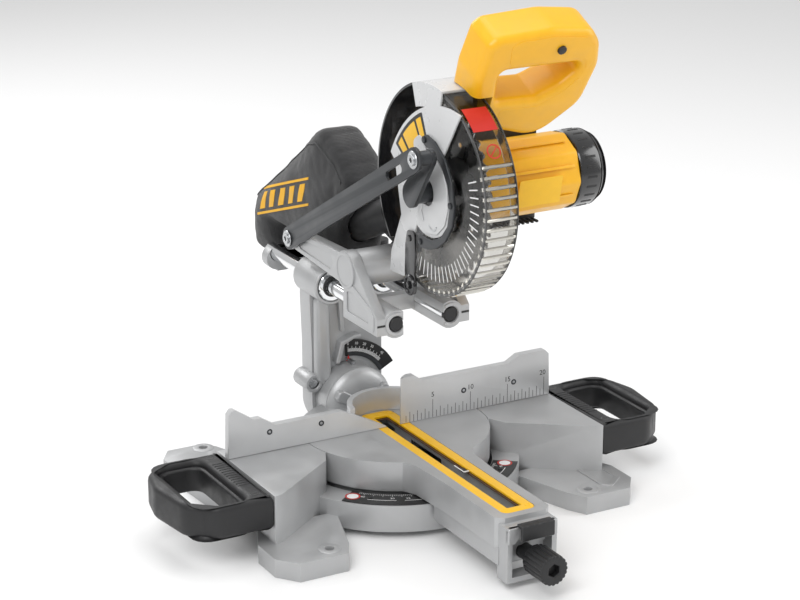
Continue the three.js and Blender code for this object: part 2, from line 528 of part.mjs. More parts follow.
function lowerGuard() {
  const start = 180 - GUARD_END;
  const end = 180 - GUARD_START;
  const at = [ARBOR_Y, ARBOR_Z];
  const inner = GUARD_RADIUS - GUARD_WALL;
  const left = -GUARD_HALF;
  const rim = sector("X", inner, GUARD_RADIUS, start, end, left, GUARD_HALF, ...at, GUARD_STEPS);
  const wall = sector("X", GUARD_BORE, GUARD_RADIUS, start, end, left, left + GUARD_WALL, ...at, GUARD_STEPS);
  const right = GUARD_HALF - GUARD_WALL;
  const lip = sector("X", inner - 13, GUARD_RADIUS, start, end, right, GUARD_HALF, ...at, GUARD_STEPS);
  const hub = ring("X", GUARD_BORE + 8, GUARD_BORE, -GUARD_HALF, -GUARD_HALF + GUARD_WALL, ...at, 28);
  return join([rim, wall, lip, hub]);
}

function gearCase() {
  const shape = strap(ARBOR_Y, ARBOR_Z, GEAR_CASE_RADIUS, MOTOR_Y, MOTOR_Z, MOTOR_RADIUS);
  const cover = slab("X", shape, GEAR_CASE_LEFT, GEAR_CASE_RIGHT, { steps: 16 });
  const inside = strap(ARBOR_Y, ARBOR_Z, GEAR_CASE_RADIUS - 6, MOTOR_Y, MOTOR_Z, MOTOR_RADIUS - 6);
  const hollow = slab("X", inside, GEAR_CASE_LEFT + 6, GEAR_CASE_RIGHT + 1, { steps: 12 });
  return cover.subtract(hollow).subtract(rod("X", 11, 20, 40, ARBOR_Y, ARBOR_Z, 24));
}

function motorHousing() {
  const shell = rod("X", MOTOR_RADIUS, GEAR_CASE_RIGHT + GAP, MOTOR_RIGHT, MOTOR_Y, MOTOR_Z, 32);
  const bore = rod("X", MOTOR_RADIUS - 4, GEAR_CASE_RIGHT, MOTOR_RIGHT + 1, MOTOR_Y, MOTOR_Z, 32);
  return shell.subtract(bore);
}

function motorCap() {
  const r = MOTOR_RADIUS - 1;
  const domeFrom = CAP_RIGHT - 12;
  const cap = rod("X", r, MOTOR_RIGHT + GAP, domeFrom, MOTOR_Y, MOTOR_Z, 32);
  const dome = rod("X", r, domeFrom, CAP_RIGHT, MOTOR_Y, MOTOR_Z, 32, r - 12);
  return cap.add(dome).subtract(rod("X", r - 5, MOTOR_RIGHT, domeFrom, MOTOR_Y, MOTOR_Z, 32));
}

function motorShaft() {
  const left = GEAR_CASE_LEFT + 8;
  const shaft = rod("X", 5, left, CAP_RIGHT - 14, MOTOR_Y, MOTOR_Z, 16);
  const pinion = rod("X", PINION_RADIUS, left + 2, left + 20, MOTOR_Y, MOTOR_Z, 16);
  return join([shaft, pinion, rod("X", 26, 84, 140, MOTOR_Y, MOTOR_Z, 24)]);
}

function spindle() {
  const inner = BLADE_THICKNESS / 2 + GAP;
  const gear = Math.hypot(MOTOR_Y - ARBOR_Y, MOTOR_Z - ARBOR_Z) - PINION_RADIUS - GAP;
  const shaft = rod("X", BORE_RADIUS - SLIP, -10, 44, ARBOR_Y, ARBOR_Z, 24);
  const flange = rod("X", 20, inner, inner + 5, ARBOR_Y, ARBOR_Z, 28);
  return join([shaft, flange, rod("X", gear, GEAR_CASE_LEFT + 8, GEAR_CASE_LEFT + 18, ARBOR_Y, ARBOR_Z, 24)]);
}

// the looped handle stands in its own leaning frame: x across, y up the lean, z towards the front
function handleFrame() {
  const up = V(0, -Math.sin(rad(HANDLE_LEAN)), Math.cos(rad(HANDLE_LEAN)));
  const across = V(1, 0, 0);
  const matrix = new THREE.Matrix4().makeBasis(across, up, across.clone().cross(up));
  return matrix.setPosition(0, GRIP_Y, GRIP_Z);
}

function handleHalf(side) {
  const outline = [[3, 6], [12, 13], [78, 17], [128, 10], [142, -8], [149, -36], [142, -86], [96, -128],
    [30, -106], [4, -82], [0, -40]].reverse();
  const opening = [[27, -31], [120, -31], [124, -42], [108, -58], [82, -72], [32, -70]];
  const loop = slab("Z", outline, -HANDLE_HALF, HANDLE_HALF, { bevel: 8 })
    .subtract(slab("Z", opening.slice().reverse(), -HANDLE_HALF - 1, HANDLE_HALF + 1));
  const keep = side > 0 ? box(-50, 250, -250, 100, GAP / 2, 60) : box(-50, 250, -250, 100, -60, -GAP / 2);
  const pocket = box(40, 72, -34, -18, -7, 7);
  const button = rod("Z", 5 + SLIP, HANDLE_HALF - 10, HANDLE_HALF + 1, 92, -8, 16);
  const half = loop.intersect(keep).subtract(pocket).subtract(button).transform(handleFrame().toArray());
  const sweep = rod("X", SHROUD_RADIUS + 1, -40, GEAR_CASE_LEFT, ARBOR_Y, ARBOR_Z, 40);
  const motor = rod("X", MOTOR_RADIUS + GAP, GEAR_CASE_RIGHT, CAP_RIGHT + 9, MOTOR_Y, MOTOR_Z, 48);
  const casing = strap(ARBOR_Y, ARBOR_Z, GEAR_CASE_RADIUS + GAP, MOTOR_Y, MOTOR_Z, MOTOR_RADIUS + GAP);
  const gears = slab("X", casing, GEAR_CASE_LEFT - 2, GEAR_CASE_RIGHT + 1, { steps: 20 });
  return half.subtract(sweep).subtract(motor).subtract(gears);
}

function trigger() {
  const paddle = box(43, 69, -42, -33, -6, 6).add(box(44, 68, -34, -22, -5.5, 5.5));
  return paddle.transform(handleFrame().toArray());
}

function lockOffButton() {
  return rod("Z", 5, HANDLE_HALF - 6, HANDLE_HALF + 3, 92, -8, 16).transform(handleFrame().toArray());
}

function batteryDock() {
  const dock = box(GEAR_CASE_RIGHT + 8, 148, MOTOR_Y + 30, MOTOR_Y + 62, MOTOR_Z - 62, MOTOR_Z + 50);
  const slot = box(GEAR_CASE_RIGHT + 18, 138, MOTOR_Y + 54, MOTOR_Y + 63, MOTOR_Z - 56, MOTOR_Z + 40);
  const motor = rod("X", MOTOR_RADIUS + GAP, GEAR_CASE_RIGHT - 1, CAP_RIGHT, MOTOR_Y, MOTOR_Z, 48);
  return dock.subtract(slot).subtract(motor);
}

const TUBE_START = V(0, 5, 251);
const TUBE_END = V(0, 100, 208);

function tubeRod(radius, from, to) {
  const along = TUBE_END.clone().sub(TUBE_START).normalize();
  const turn = new THREE.Quaternion().setFromUnitVectors(V(0, 0, 1), along);
  const geometry = new THREE.CylinderGeometry(radius, radius, to - from, 28);
  geometry.rotateX(Math.PI / 2).translate(0, 0, (to + from) / 2).applyQuaternion(turn);
  return body(geometry.translate(TUBE_START.x, TUBE_START.y, TUBE_START.z));
}

function dustPort() {
  const length = TUBE_START.distanceTo(TUBE_END);
  const web = slab("X", [[-8, 262], [30, 236], [14, 226], [-4, 221], [-12, 240]].reverse(), -5, 5);
  const bulk = tubeRod(TUBE_RADIUS, -12, length).add(web);
  const sweep = rod("X", SHROUD_RADIUS + GAP, -60, 60, ARBOR_Y, ARBOR_Z, 40);
  return bulk.subtract(tubeRod(TUBE_RADIUS - TUBE_WALL, -30, length + 1)).subtract(sweep);
}

function dustBag() {
  const length = TUBE_START.distanceTo(TUBE_END);
  const outline = [[52, 276], [92, 306], [128, 324], [146, 318], [300, 214], [312, 188], [310, 144],
    [296, 137], [262, 137], [250, 152], [245, 173], [100, 173], [74, 182]].reverse();
  const bag = slab("X", outline, -BAG_HALF, BAG_HALF, { bevel: 14 });
  const railRoom = [-1, 1].map((side) =>
    rod("Y", RAIL_RADIUS + GAP, 0, RAIL_REAR + 3 + GAP, RAIL_Z, side * RAIL_X, 20));
  const tubeRoom = tubeRod(TUBE_RADIUS + 2 * SLIP, -20, length + 1);
  return [tubeRoom, ...railRoom].reduce((whole, room) => whole.subtract(room), bag);
}

function returnSpring() {
  return ring("X", PIVOT_HUB_RADIUS + 2, PIVOT_HUB_RADIUS - 1 + GAP, 8, 20, PIVOT_Y, PIVOT_Z, 32);
}

function makeHead(deck) {
  piece(deck, "head_arm", headArm(), "casting");
  piece(deck, "upper_guard", upperGuard(), "guardWhite");
  piece(deck, "guard_shroud", guardShroud(), "black");
  const left = PLATE_LEFT - GAP;
  const cover = strap(ARBOR_Y + 10, ARBOR_Z + 20, 14, ARBOR_Y + 2, ARBOR_Z - 25, 12);
  piece(deck, "guard_inner_cover", slab("X", cover, left - 3, left, { steps: 10 })
    .subtract(rod("X", 16, -40, 0, ARBOR_Y, ARBOR_Z, 28)), "steel");
  const band = [RING_RADIUS - 9, RING_RADIUS + 3];
  const retainer = sector("X", ...band, 106, 290, left - 3, left, ARBOR_Y, ARBOR_Z, 28);
  piece(deck, "guard_retainer", retainer, "darkSteel");
  const bracket = strap(ARBOR_Y + 38, ARBOR_Z - 62, 9, ARBOR_Y + 34, ARBOR_Z - 112, 11);
  piece(deck, "guard_bracket", slab("X", bracket, left - 2.2, left, { steps: 8 }), "black");
  piece(deck, "gear_case", gearCase(), "yellow");
  piece(deck, "motor_housing", motorHousing(), "yellow");
  piece(deck, "motor_end_cap", motorCap(), "black");
  piece(deck, "handle_front_half", handleHalf(1), "yellow");
  piece(deck, "handle_rear_half", handleHalf(-1), "yellow");
  piece(deck, "battery_dock", batteryDock(), "black");
  piece(deck, "dust_port", dustPort(), "black");
  piece(deck, "dust_bag", dustBag(), "fabric");
  piece(deck, "head_return_spring", returnSpring(), "steel");
  piece(deck, "trigger", trigger(), "black");
  piece(deck, "lock_off_button", lockOffButton(), "black");
}

function makeBlade(deck) {
  const half = BLADE_THICKNESS / 2;
  piece(deck, "saw_blade", ring("X", BLADE_RADIUS, BORE_RADIUS, -half, half, ARBOR_Y, ARBOR_Z, 72), "steel");
  piece(deck, "spindle", spindle(), "steel");
  const outerFlange = ring("X", 18, BORE_RADIUS, -half - GAP - 4, -half - GAP, ARBOR_Y, ARBOR_Z, 28);
  piece(deck, "blade_flange", outerFlange, "steel");
  piece(deck, "blade_bolt", rod("X", 10, -17, -10 - GAP, ARBOR_Y, ARBOR_Z, 6), "darkSteel");
  piece(deck, "motor_shaft", motorShaft(), "steel");
}

function makeGuardDrive(deck) {
  piece(deck, "lower_guard", lowerGuard(), "smoke");
  const pinY = ARBOR_Y + LEVER_RADIUS * Math.cos(rad(LEVER_ANGLE));
  const pinZ = ARBOR_Z + LEVER_RADIUS * Math.sin(rad(LEVER_ANGLE));
  const leverFrom = -46;
  const arm = strap(ARBOR_Y, ARBOR_Z, 14, pinY, pinZ, 9);
  const lever = slab("X", arm, leverFrom, leverFrom + 5, { steps: 10 });
  const hub = rod("X", 11, leverFrom, -18, ARBOR_Y, ARBOR_Z, 24);
  const boss = rod("X", 8, LINK_LEFT + LINK_THICKNESS + GAP, leverFrom + 1, pinY, pinZ, 20);
  piece(deck, "guard_lever", join([lever, hub, boss]), "darkSteel");
  const bar = slab("X", strap(HORN_Y, HORN_Z, LINK_HALF, pinY, pinZ, LINK_HALF), LINK_LEFT,
    LINK_LEFT + LINK_THICKNESS, { steps: 14 });
  const along = V(0, pinY - HORN_Y, pinZ - HORN_Z).normalize();
  const slotAt = (reach) => [HORN_Y + along.y * reach, HORN_Z + along.z * reach];
  const length = Math.hypot(pinY - HORN_Y, pinZ - HORN_Z);
  const slotShape = strap(...slotAt(length - 62), 5, ...slotAt(length - 34), 5);
  const slot = slab("X", slotShape, LINK_LEFT - 1, -59, { steps: 6 });
  const link = bar.subtract(rod("X", 5 + SLIP, -70, -59, HORN_Y, HORN_Z, 20)).subtract(slot);
  piece(deck, "guard_link", link, "darkSteel");
  const cap = rod("X", 8, LINK_LEFT - 4, LINK_LEFT - GAP, pinY, pinZ, 12);
  piece(deck, "link_front_bolt", cap, "steel");
}

// ---- whole saw ----------------------------------------------------------------------
const saw = new THREE.Group();
const deck = new THREE.Group();
deck.position.z = TABLE_HEIGHT;
saw.add(deck);
makeBase(deck);
makeTurntable(deck);
makeColumn(deck);
makeCarriage(deck);
makeHead(deck);
makeBlade(deck);
makeGuardDrive(deck);

saw.updateMatrixWorld(true);
const extent = new THREE.Box3().setFromObject(saw);
const middle = extent.getCenter(V(0, 0, 0));
saw.position.set(-middle.x, -middle.y, 0);

export default saw;
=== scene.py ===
import json
import math

import bmesh
import bpy
from mathutils import Matrix, Vector
from mathutils import noise as noise_field
from mathutils.bvhtree import BVHTree

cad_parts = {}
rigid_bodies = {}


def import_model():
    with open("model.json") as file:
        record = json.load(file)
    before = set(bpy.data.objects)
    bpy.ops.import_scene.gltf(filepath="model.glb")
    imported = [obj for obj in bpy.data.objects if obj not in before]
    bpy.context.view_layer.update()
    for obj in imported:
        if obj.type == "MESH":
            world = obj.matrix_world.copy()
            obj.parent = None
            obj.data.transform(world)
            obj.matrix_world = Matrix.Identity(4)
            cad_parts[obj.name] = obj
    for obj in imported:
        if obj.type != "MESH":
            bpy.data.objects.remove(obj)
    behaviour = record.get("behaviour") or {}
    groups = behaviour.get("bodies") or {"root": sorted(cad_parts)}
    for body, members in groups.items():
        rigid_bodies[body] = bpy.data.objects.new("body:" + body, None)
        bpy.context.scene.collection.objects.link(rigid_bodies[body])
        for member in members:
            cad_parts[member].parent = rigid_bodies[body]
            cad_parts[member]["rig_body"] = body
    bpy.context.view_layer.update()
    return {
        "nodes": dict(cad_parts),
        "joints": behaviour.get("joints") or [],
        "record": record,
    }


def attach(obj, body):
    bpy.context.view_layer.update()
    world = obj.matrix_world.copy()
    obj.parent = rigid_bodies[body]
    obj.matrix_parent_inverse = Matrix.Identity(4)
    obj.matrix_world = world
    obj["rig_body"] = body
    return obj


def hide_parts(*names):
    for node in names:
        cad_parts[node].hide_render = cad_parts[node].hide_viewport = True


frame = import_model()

# Looks for the sliding miter saw. Metres, +Z up, the operator stands towards -Y.
NODES = frame["nodes"]
RECORD = frame["record"]
JOINTS = {joint["name"]: joint for joint in frame["joints"]}
SLOT_OF = {row["node"]: row["material_slot"] for row in RECORD["subparts"]}
MM = 0.001
EDGE_LAYER = "rounded_edge"
SCENE = bpy.context.scene

# places that the frame gives
TABLE_TOP = JOINTS["bevel_tilt"]["pos_m"][2]
DECK = Vector((0, JOINTS["turntable_swivel"]["pos_m"][1], TABLE_TOP))
ARBOR_YZ = (-115, 308)
MOTOR_YZ = (-86, 301)


def deck(x, y, z):
    """A point given in millimetres from the middle of the table top."""
    return DECK + Vector((x, y, z)) * MM


# ---- camera, lights and floor -------------------------------------------------------
def make_camera():
    data = bpy.data.cameras.new("camera")
    data.lens = 105.23
    data.sensor_width = 36
    camera = bpy.data.objects.new("camera", data)
    camera.location = (-1.1938, -2.1483, 1.0633)
    camera.rotation_euler = (math.radians(71.28), 0, math.radians(-29.06))
    SCENE.collection.objects.link(camera)
    SCENE.camera = camera


def make_light(name, place, target, size, power, color=(1, 1, 1)):
    data = bpy.data.lights.new(name, "AREA")
    data.shape = "RECTANGLE"
    data.size, data.size_y = size
    data.energy = power
    data.color = color
    light = bpy.data.objects.new(name, data)
    light.location = place
    light.rotation_euler = (Vector(target) - Vector(place)).to_track_quat("-Z", "Y").to_euler()
    SCENE.collection.objects.link(light)


def make_studio():
    middle = (0, 0, 0.25)
    make_light("key_softbox", (-1.6, -1.3, 2.0), middle, (1.3, 1.3), 30)
    make_light("right_softbox", (2.0, -0.8, 1.1), middle, (0.9, 1.6), 15)
    make_light("rear_softbox", (-0.4, 2.0, 1.6), middle, (1.8, 0.9), 18)
    make_light("top_softbox", (0.1, 0.1, 2.3), middle, (1.6, 1.6), 16)
    world = bpy.data.worlds.new("studio")
    world.use_nodes = True
    world.node_tree.nodes["Background"].inputs["Color"].default_value = (1, 1, 1, 1)
    world.node_tree.nodes["Background"].inputs["Strength"].default_value = 0.62
    SCENE.world = world
    bm = bmesh.new()
    bmesh.ops.create_grid(bm, x_segments=1, y_segments=1, size=8)
    mesh = bpy.data.meshes.new("floor")
    bm.to_mesh(mesh)
    bm.free()
    floor = bpy.data.objects.new("floor", mesh)
    SCENE.collection.objects.link(floor)
    paper = bpy.data.materials.new("floor_paper")
    paper.use_nodes = True
    bsdf = paper.node_tree.nodes["Principled BSDF"]
    bsdf.inputs["Base Color"].default_value = (0.88, 0.88, 0.88, 1)
    bsdf.inputs["Roughness"].default_value = 0.9
    mesh.materials.append(paper)


make_camera()
make_studio()
SCENE.view_settings.view_transform = "Standard"


# ---- shared effects -----------------------------------------------------------------
def new_group(name, inputs, outputs):
    group = bpy.data.node_groups.new(name, "ShaderNodeTree")
    for title, kind, value in inputs:
        socket = group.interface.new_socket(title, in_out="INPUT", socket_type=kind)
        if value is not None:
            socket.default_value = value
    for title, kind in outputs:
        group.interface.new_socket(title, in_out="OUTPUT", socket_type=kind)
    return group, group.nodes.new("NodeGroupInput"), group.nodes.new("NodeGroupOutput")


def math_node(tree, operation, a, b=None):
    node = tree.nodes.new("ShaderNodeMath")
    node.operation = operation
    for socket, value in zip(node.inputs, (a, b)):
        if value is None:
            continue
        if isinstance(value, bpy.types.NodeSocket):
            tree.links.new(value, socket)
        else:
            socket.default_value = value
    return node.outputs[0]


def remap(tree, value, low, high, to_low=0.0, to_high=1.0):
    node = tree.nodes.new("ShaderNodeMapRange")
    tree.links.new(value, node.inputs["Value"])
    for title, number in (("From Min", low), ("From Max", high), ("To Min", to_low), ("To Max", to_high)):
        node.inputs[title].default_value = number
    return node.outputs["Result"]


def mix_color(tree, factor, a, b, blend="MIX"):
    node = tree.nodes.new("ShaderNodeMix")
    node.data_type = "RGBA"
    node.blend_type = blend
    for index, value in ((0, factor), (6, a), (7, b)):
        if isinstance(value, bpy.types.NodeSocket):
            tree.links.new(value, node.inputs[index])
        else:
            node.inputs[index].default_value = value
    return node.outputs[2]


def noise(tree, vector, scale, detail=3.0):
    node = tree.nodes.new("ShaderNodeTexNoise")
    tree.links.new(vector, node.inputs["Vector"])
    if isinstance(scale, bpy.types.NodeSocket):
        tree.links.new(scale, node.inputs["Scale"])
    else:
        node.inputs["Scale"].default_value = scale
    node.inputs["Detail"].default_value = detail
    return node.outputs["Fac"]


def make_grain_group():
    """Fine grain and broad blotches over any surface."""
    group, entry, leave = new_group("surface_grain",
        [("Vector", "NodeSocketVector", None), ("Scale", "NodeSocketFloat", 900.0)],
        [("Grain", "NodeSocketFloat"), ("Blotch", "NodeSocketFloat")])
    scale = entry.outputs["Scale"]
    fine = noise(group, entry.outputs["Vector"], scale, 4)
    broad = noise(group, entry.outputs["Vector"], math_node(group, "MULTIPLY", scale, 0.03), 3)
    group.links.new(fine, leave.inputs["Grain"])
    group.links.new(remap(group, broad, 0.35, 0.65), leave.inputs["Blotch"])
    return group


def make_wear_group():
    """Rubbed edges: where the surface bends outwards the worn colour shows in patches."""
    group, entry, leave = new_group("edge_wear",
        [("Vector", "NodeSocketVector", None), ("Color", "NodeSocketColor", (1, 1, 1, 1)),
         ("Worn", "NodeSocketColor", (1, 1, 1, 1)), ("Amount", "NodeSocketFloat", 0.3)],
        [("Color", "NodeSocketColor"), ("Mask", "NodeSocketFloat")])
    rounded_faces = group.nodes.new("ShaderNodeAttribute")
    rounded_faces.attribute_name = EDGE_LAYER
    patches = remap(group, noise(group, entry.outputs["Vector"], 160, 4), 0.42, 0.62)
    edge = math_node(group, "MULTIPLY", rounded_faces.outputs["Fac"], patches)
    mask = math_node(group, "MULTIPLY", edge, entry.outputs["Amount"])
    color = mix_color(group, mask, entry.outputs["Color"], entry.outputs["Worn"])
    group.links.new(color, leave.inputs["Color"])
    group.links.new(mask, leave.inputs["Mask"])
    return group


GRAIN = make_grain_group()
WEAR = make_wear_group()


def place_group(tree, group, **values):
    node = tree.nodes.new("ShaderNodeGroup")
    node.node_tree = group
    for title, value in values.items():
        if isinstance(value, bpy.types.NodeSocket):
            tree.links.new(value, node.inputs[title])
        else:
            node.inputs[title].default_value = value
    return node


def tone(color, factor):
    return tuple(min(1, channel * factor) for channel in color[:3]) + (1,)


def coated(name, color, rough=(0.4, 0.55), metal=0.0, grain=900.0, bump=0.1, depth=0.0004,
           mottle=0.08, worn=None, wear=0.0, coat=0.0, sheen=0.0):
    """A painted, moulded or metal surface with grain, blotches and rubbed edges."""
    material = bpy.data.materials.new(name)
    material.use_nodes = True
    tree = material.node_tree
    bsdf = tree.nodes["Principled BSDF"]
    bsdf.inputs["Metallic"].default_value = metal
    bsdf.inputs["Coat Weight"].default_value = coat
    bsdf.inputs["Coat Roughness"].default_value = 0.15
    bsdf.inputs["Sheen Weight"].default_value = sheen
    where = tree.nodes.new("ShaderNodeTexCoord").outputs["Object"]
    surface = place_group(tree, GRAIN, Vector=where, Scale=grain)
    blotch = surface.outputs["Blotch"]
    body = mix_color(tree, blotch, tone(color, 1 - mottle), tone(color, 1 + mottle))
    if worn is not None:
        rubbed = place_group(tree, WEAR, Vector=where, Color=body, Worn=tone(worn, 1), Amount=wear)
        body = rubbed.outputs["Color"]
    tree.links.new(body, bsdf.inputs["Base Color"])
    tree.links.new(remap(tree, blotch, 0, 1, *rough), bsdf.inputs["Roughness"])
    relief = tree.nodes.new("ShaderNodeBump")
    relief.inputs["Strength"].default_value = bump
    relief.inputs["Distance"].default_value = depth
    tree.links.new(surface.outputs["Grain"], relief.inputs["Height"])
    tree.links.new(relief.outputs["Normal"], bsdf.inputs["Normal"])
    return material


SILVER = (0.46, 0.465, 0.47)
BARE = (0.72, 0.72, 0.72)
FINISHES = {
    "grey_casting": coated("cast_silver", SILVER, (0.34, 0.46), 0.5, 1100, 0.4, 0.0003, 0.04, BARE, 0.6),
    "fence_paint": coated("fence_paint", (0.55, 0.555, 0.56), (0.3, 0.38), 0.3, 1400, 0.2, 0.0002, 0.02,
                          BARE, 0.4),
    "machined": coated("machined_top", (0.58, 0.585, 0.59), (0.28, 0.34), 0.25, 1500, 0.12, 0.0002, 0.015,
                       BARE, 0.3),
    "guard_paint": coated("guard_paint", (0.62, 0.625, 0.63), (0.26, 0.31), 0.05, 1300, 0.1, 0.0002, 0.012),
    "black_plastic": coated("black_nylon", (0.013, 0.013, 0.014), (0.40, 0.55), 0, 2200, 0.5, 0.0002, 0.15,
                            (0.05, 0.05, 0.052), 0.6),
    "gloss_black": coated("gloss_black", (0.008, 0.008, 0.009), (0.14, 0.22), 0, 600, 0.05, 0.0002, 0.1,
                          (0.03, 0.03, 0.03), 0.5, coat=0.6),
    "yellow_plastic": coated("yellow_nylon", (0.87, 0.45, 0.010), (0.30, 0.40), 0, 2600, 0.25, 0.00015, 0.02,
                             (0.95, 0.62, 0.12), 0.4),
    "yellow_bright": coated("yellow_plate", (0.88, 0.50, 0.008), (0.28, 0.36), 0, 2600, 0.12, 0.0001, 0.02,
                            (0.95, 0.66, 0.2), 0.3),
    "scale_black": coated("scale_black", (0.010, 0.010, 0.010), (0.35, 0.45), 0, 1500, 0.1, 0.0002, 0.1),
    "print_white": coated("print_white", (0.78, 0.78, 0.78), (0.45, 0.55), 0, 1500, 0.05, 0.0001, 0.02),
    "print_black": coated("print_black", (0.02, 0.02, 0.02), (0.45, 0.55), 0, 1500, 0.05, 0.0001, 0.02),
    "print_red": coated("print_red", (0.55, 0.02, 0.015), (0.4, 0.5), 0, 1500, 0.05, 0.0001, 0.04),
    # Dark red-brown for the turntable surface deep in the insert's slot: painted shade.
    "slot_shade_brown": coated("slot_shade_brown", (0.075, 0.040, 0.030), (0.25, 0.4), 0.3, 900, 0.2, 0.0002, 0.15),
    "chrome": coated("hard_chrome", (0.80, 0.81, 0.82), (0.06, 0.13), 1.0, 500, 0.03, 0.0001, 0.02),
    "bright_steel": coated("zinc_steel", (0.52, 0.53, 0.54), (0.22, 0.34), 1.0, 1200, 0.12, 0.0001, 0.06),
    "dark_steel": coated("dark_steel", (0.050, 0.053, 0.057), (0.28, 0.42), 0.5, 1400, 0.2, 0.0002, 0.1,
                         (0.20, 0.20, 0.20), 0.7),
    "blade_steel": coated("blade_steel", (0.42, 0.42, 0.43), (0.2, 0.32), 1.0, 900, 0.1, 0.0001, 0.08),
}


def guard_clear():
    """Smoke-tinted clear plastic."""
    material = bpy.data.materials.new("smoked_clear")
    material.use_nodes = True
    tree = material.node_tree
    bsdf = tree.nodes["Principled BSDF"]
    bsdf.inputs["Transmission Weight"].default_value = 1.0
    bsdf.inputs["IOR"].default_value = 1.3
    where = tree.nodes.new("ShaderNodeTexCoord").outputs["Object"]
    surface = place_group(tree, GRAIN, Vector=where, Scale=700.0)
    tint = mix_color(tree, surface.outputs["Blotch"], (0.60, 0.59, 0.56, 1), (0.72, 0.71, 0.69, 1))
    tree.links.new(tint, bsdf.inputs["Base Color"])
    tree.links.new(remap(tree, surface.outputs["Grain"], 0.3, 0.7, 0.02, 0.12), bsdf.inputs["Roughness"])
    return material


FINISHES["smoked_guard"] = guard_clear()
# The clear guard's ribs in a silver metal finish: the ribs are real, their silver is a painted highlight.
FINISHES["guard_rib"] = coated("guard_rib", (0.62, 0.60, 0.55), (0.06, 0.14), 0.9, 700, 0.05, 0.0002, 0.12)
FINISHES["badge_yellow"] = coated("badge_yellow", (0.80, 0.42, 0.012), (0.5, 0.65), 0, 1800, 0.4, 0.0003,
                                  0.06)
FINISHES["guard_edge"] = coated("guard_edge", (0.07, 0.07, 0.07), (0.10, 0.2), 0.2, 700, 0.05, 0.0002, 0.1)


THREAD_PITCH = 0.0011


def bag_cloth():
    """Coarse black woven polyester: two crossed thread directions."""
    material = bpy.data.materials.new("bag_weave")
    material.use_nodes = True
    tree = material.node_tree
    bsdf = tree.nodes["Principled BSDF"]
    bsdf.inputs["Sheen Weight"].default_value = 0.25
    bsdf.inputs["Sheen Roughness"].default_value = 0.5
    where = tree.nodes.new("ShaderNodeTexCoord").outputs["Object"]
    split = tree.nodes.new("ShaderNodeSeparateXYZ")
    tree.links.new(where, split.inputs[0])
    threads = 2 * math.pi / THREAD_PITCH
    slant = math_node(tree, "ADD", split.outputs["Y"], split.outputs["X"])
    across = math_node(tree, "SINE", math_node(tree, "MULTIPLY", slant, threads))
    upward = math_node(tree, "SINE", math_node(tree, "MULTIPLY", split.outputs["Z"], threads))
    weave = math_node(tree, "MAXIMUM", across, upward)
    surface = place_group(tree, GRAIN, Vector=where, Scale=700.0)
    height = math_node(tree, "ADD", weave, math_node(tree, "MULTIPLY", surface.outputs["Grain"], 0.8))
    body = mix_color(tree, surface.outputs["Blotch"], (0.008, 0.008, 0.009, 1), (0.017, 0.017, 0.018, 1))
    body = mix_color(tree, remap(tree, weave, 0.4, 1.0, 0, 0.35), body, (0.035, 0.035, 0.037, 1))
    tree.links.new(body, bsdf.inputs["Base Color"])
    tree.links.new(remap(tree, surface.outputs["Grain"], 0.3, 0.7, 0.75, 0.95), bsdf.inputs["Roughness"])
    relief = tree.nodes.new("ShaderNodeBump")
    relief.inputs["Strength"].default_value = 0.45
    relief.inputs["Distance"].default_value = 0.0004
    tree.links.new(height, relief.inputs["Height"])
    tree.links.new(relief.outputs["Normal"], bsdf.inputs["Normal"])
    return material


FINISHES["bag_fabric"] = bag_cloth()


# ---- making pieces ------------------------------------------------------------------
def publish(mesh, name, body, finish, stands_for=(), smooth=32):
    """Shades a finished mesh, gives it its material and lets it ride on its body."""
    mesh.polygons.foreach_set("use_smooth", [True] * len(mesh.polygons))
    mesh.set_sharp_from_angle(angle=math.radians(smooth))
    obj = bpy.data.objects.new(name, mesh)
    SCENE.collection.objects.link(obj)
    mesh.materials.append(FINISHES[finish])
    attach(obj, body)
    if stands_for:
        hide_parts(*stands_for)
    return obj


def from_bmesh(bm, name, body, finish, stands_for=(), smooth=32):
    mesh = bpy.data.meshes.new(name)
    bm.to_mesh(mesh)
    bm.free()
    return publish(mesh, name, body, finish, stands_for, smooth)


def soften(bm, width, segments=3, angle=32):
    """Rounds the edges that turn by more than the angle."""
    limit = math.radians(angle)
    layer = bm.faces.layers.float.get(EDGE_LAYER) or bm.faces.layers.float.new(EDGE_LAYER)
    edges = [e for e in bm.edges if len(e.link_faces) == 2 and e.calc_face_angle(0) > limit]
    made = bmesh.ops.bevel(bm, geom=edges, offset=width, offset_type="OFFSET", segments=segments, profile=0.5,
                           affect="EDGES", clamp_overlap=True, material=-1)
    for face in made["faces"]:
        face[layer] = 1.0


def node_solid(node):
    bm = bmesh.new()
    bm.from_mesh(NODES[node].data)
    bmesh.ops.remove_doubles(bm, verts=bm.verts, dist=0.02 * MM)
    bmesh.ops.dissolve_limit(bm, angle_limit=math.radians(1), verts=bm.verts, edges=bm.edges)
    return bm


def refine(node, width, finish=None, segments=3, angle=32):
    """The CAD solid with its edges rounded, in its final finish."""
    bm = node_solid(node)
    soften(bm, width * MM, segments, angle)
    slot = SLOT_OF[node]
    return from_bmesh(bm, "fine_" + node, NODES[node]["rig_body"], finish or slot, (node,))


# ---- shapes -------------------------------------------------------------------------
TURN = {"X": Matrix(((0, 0, 1), (1, 0, 0), (0, 1, 0))), "Y": Matrix(((0, 1, 0), (0, 0, 1), (1, 0, 0))),
        "Z": Matrix.Identity(3)}


def placing(axis, place=None):
    """Outline millimetres to the shared frame; X outlines are (y, z), Y ones (z, x), Z ones (x, y)."""
    spot = Matrix.Translation(DECK) if place is None else place
    return spot @ Matrix.Scale(MM, 4) @ TURN[axis].to_4x4()


def on_face(x, y, z, right, up):
    """A flat spot for print: its middle in deck millimetres and two directions along it."""
    right, up = Vector(right).normalized(), Vector(up).normalized()
    turn = Matrix((right, up, right.cross(up))).transposed().to_4x4()
    return Matrix.Translation(deck(x, y, z)) @ turn


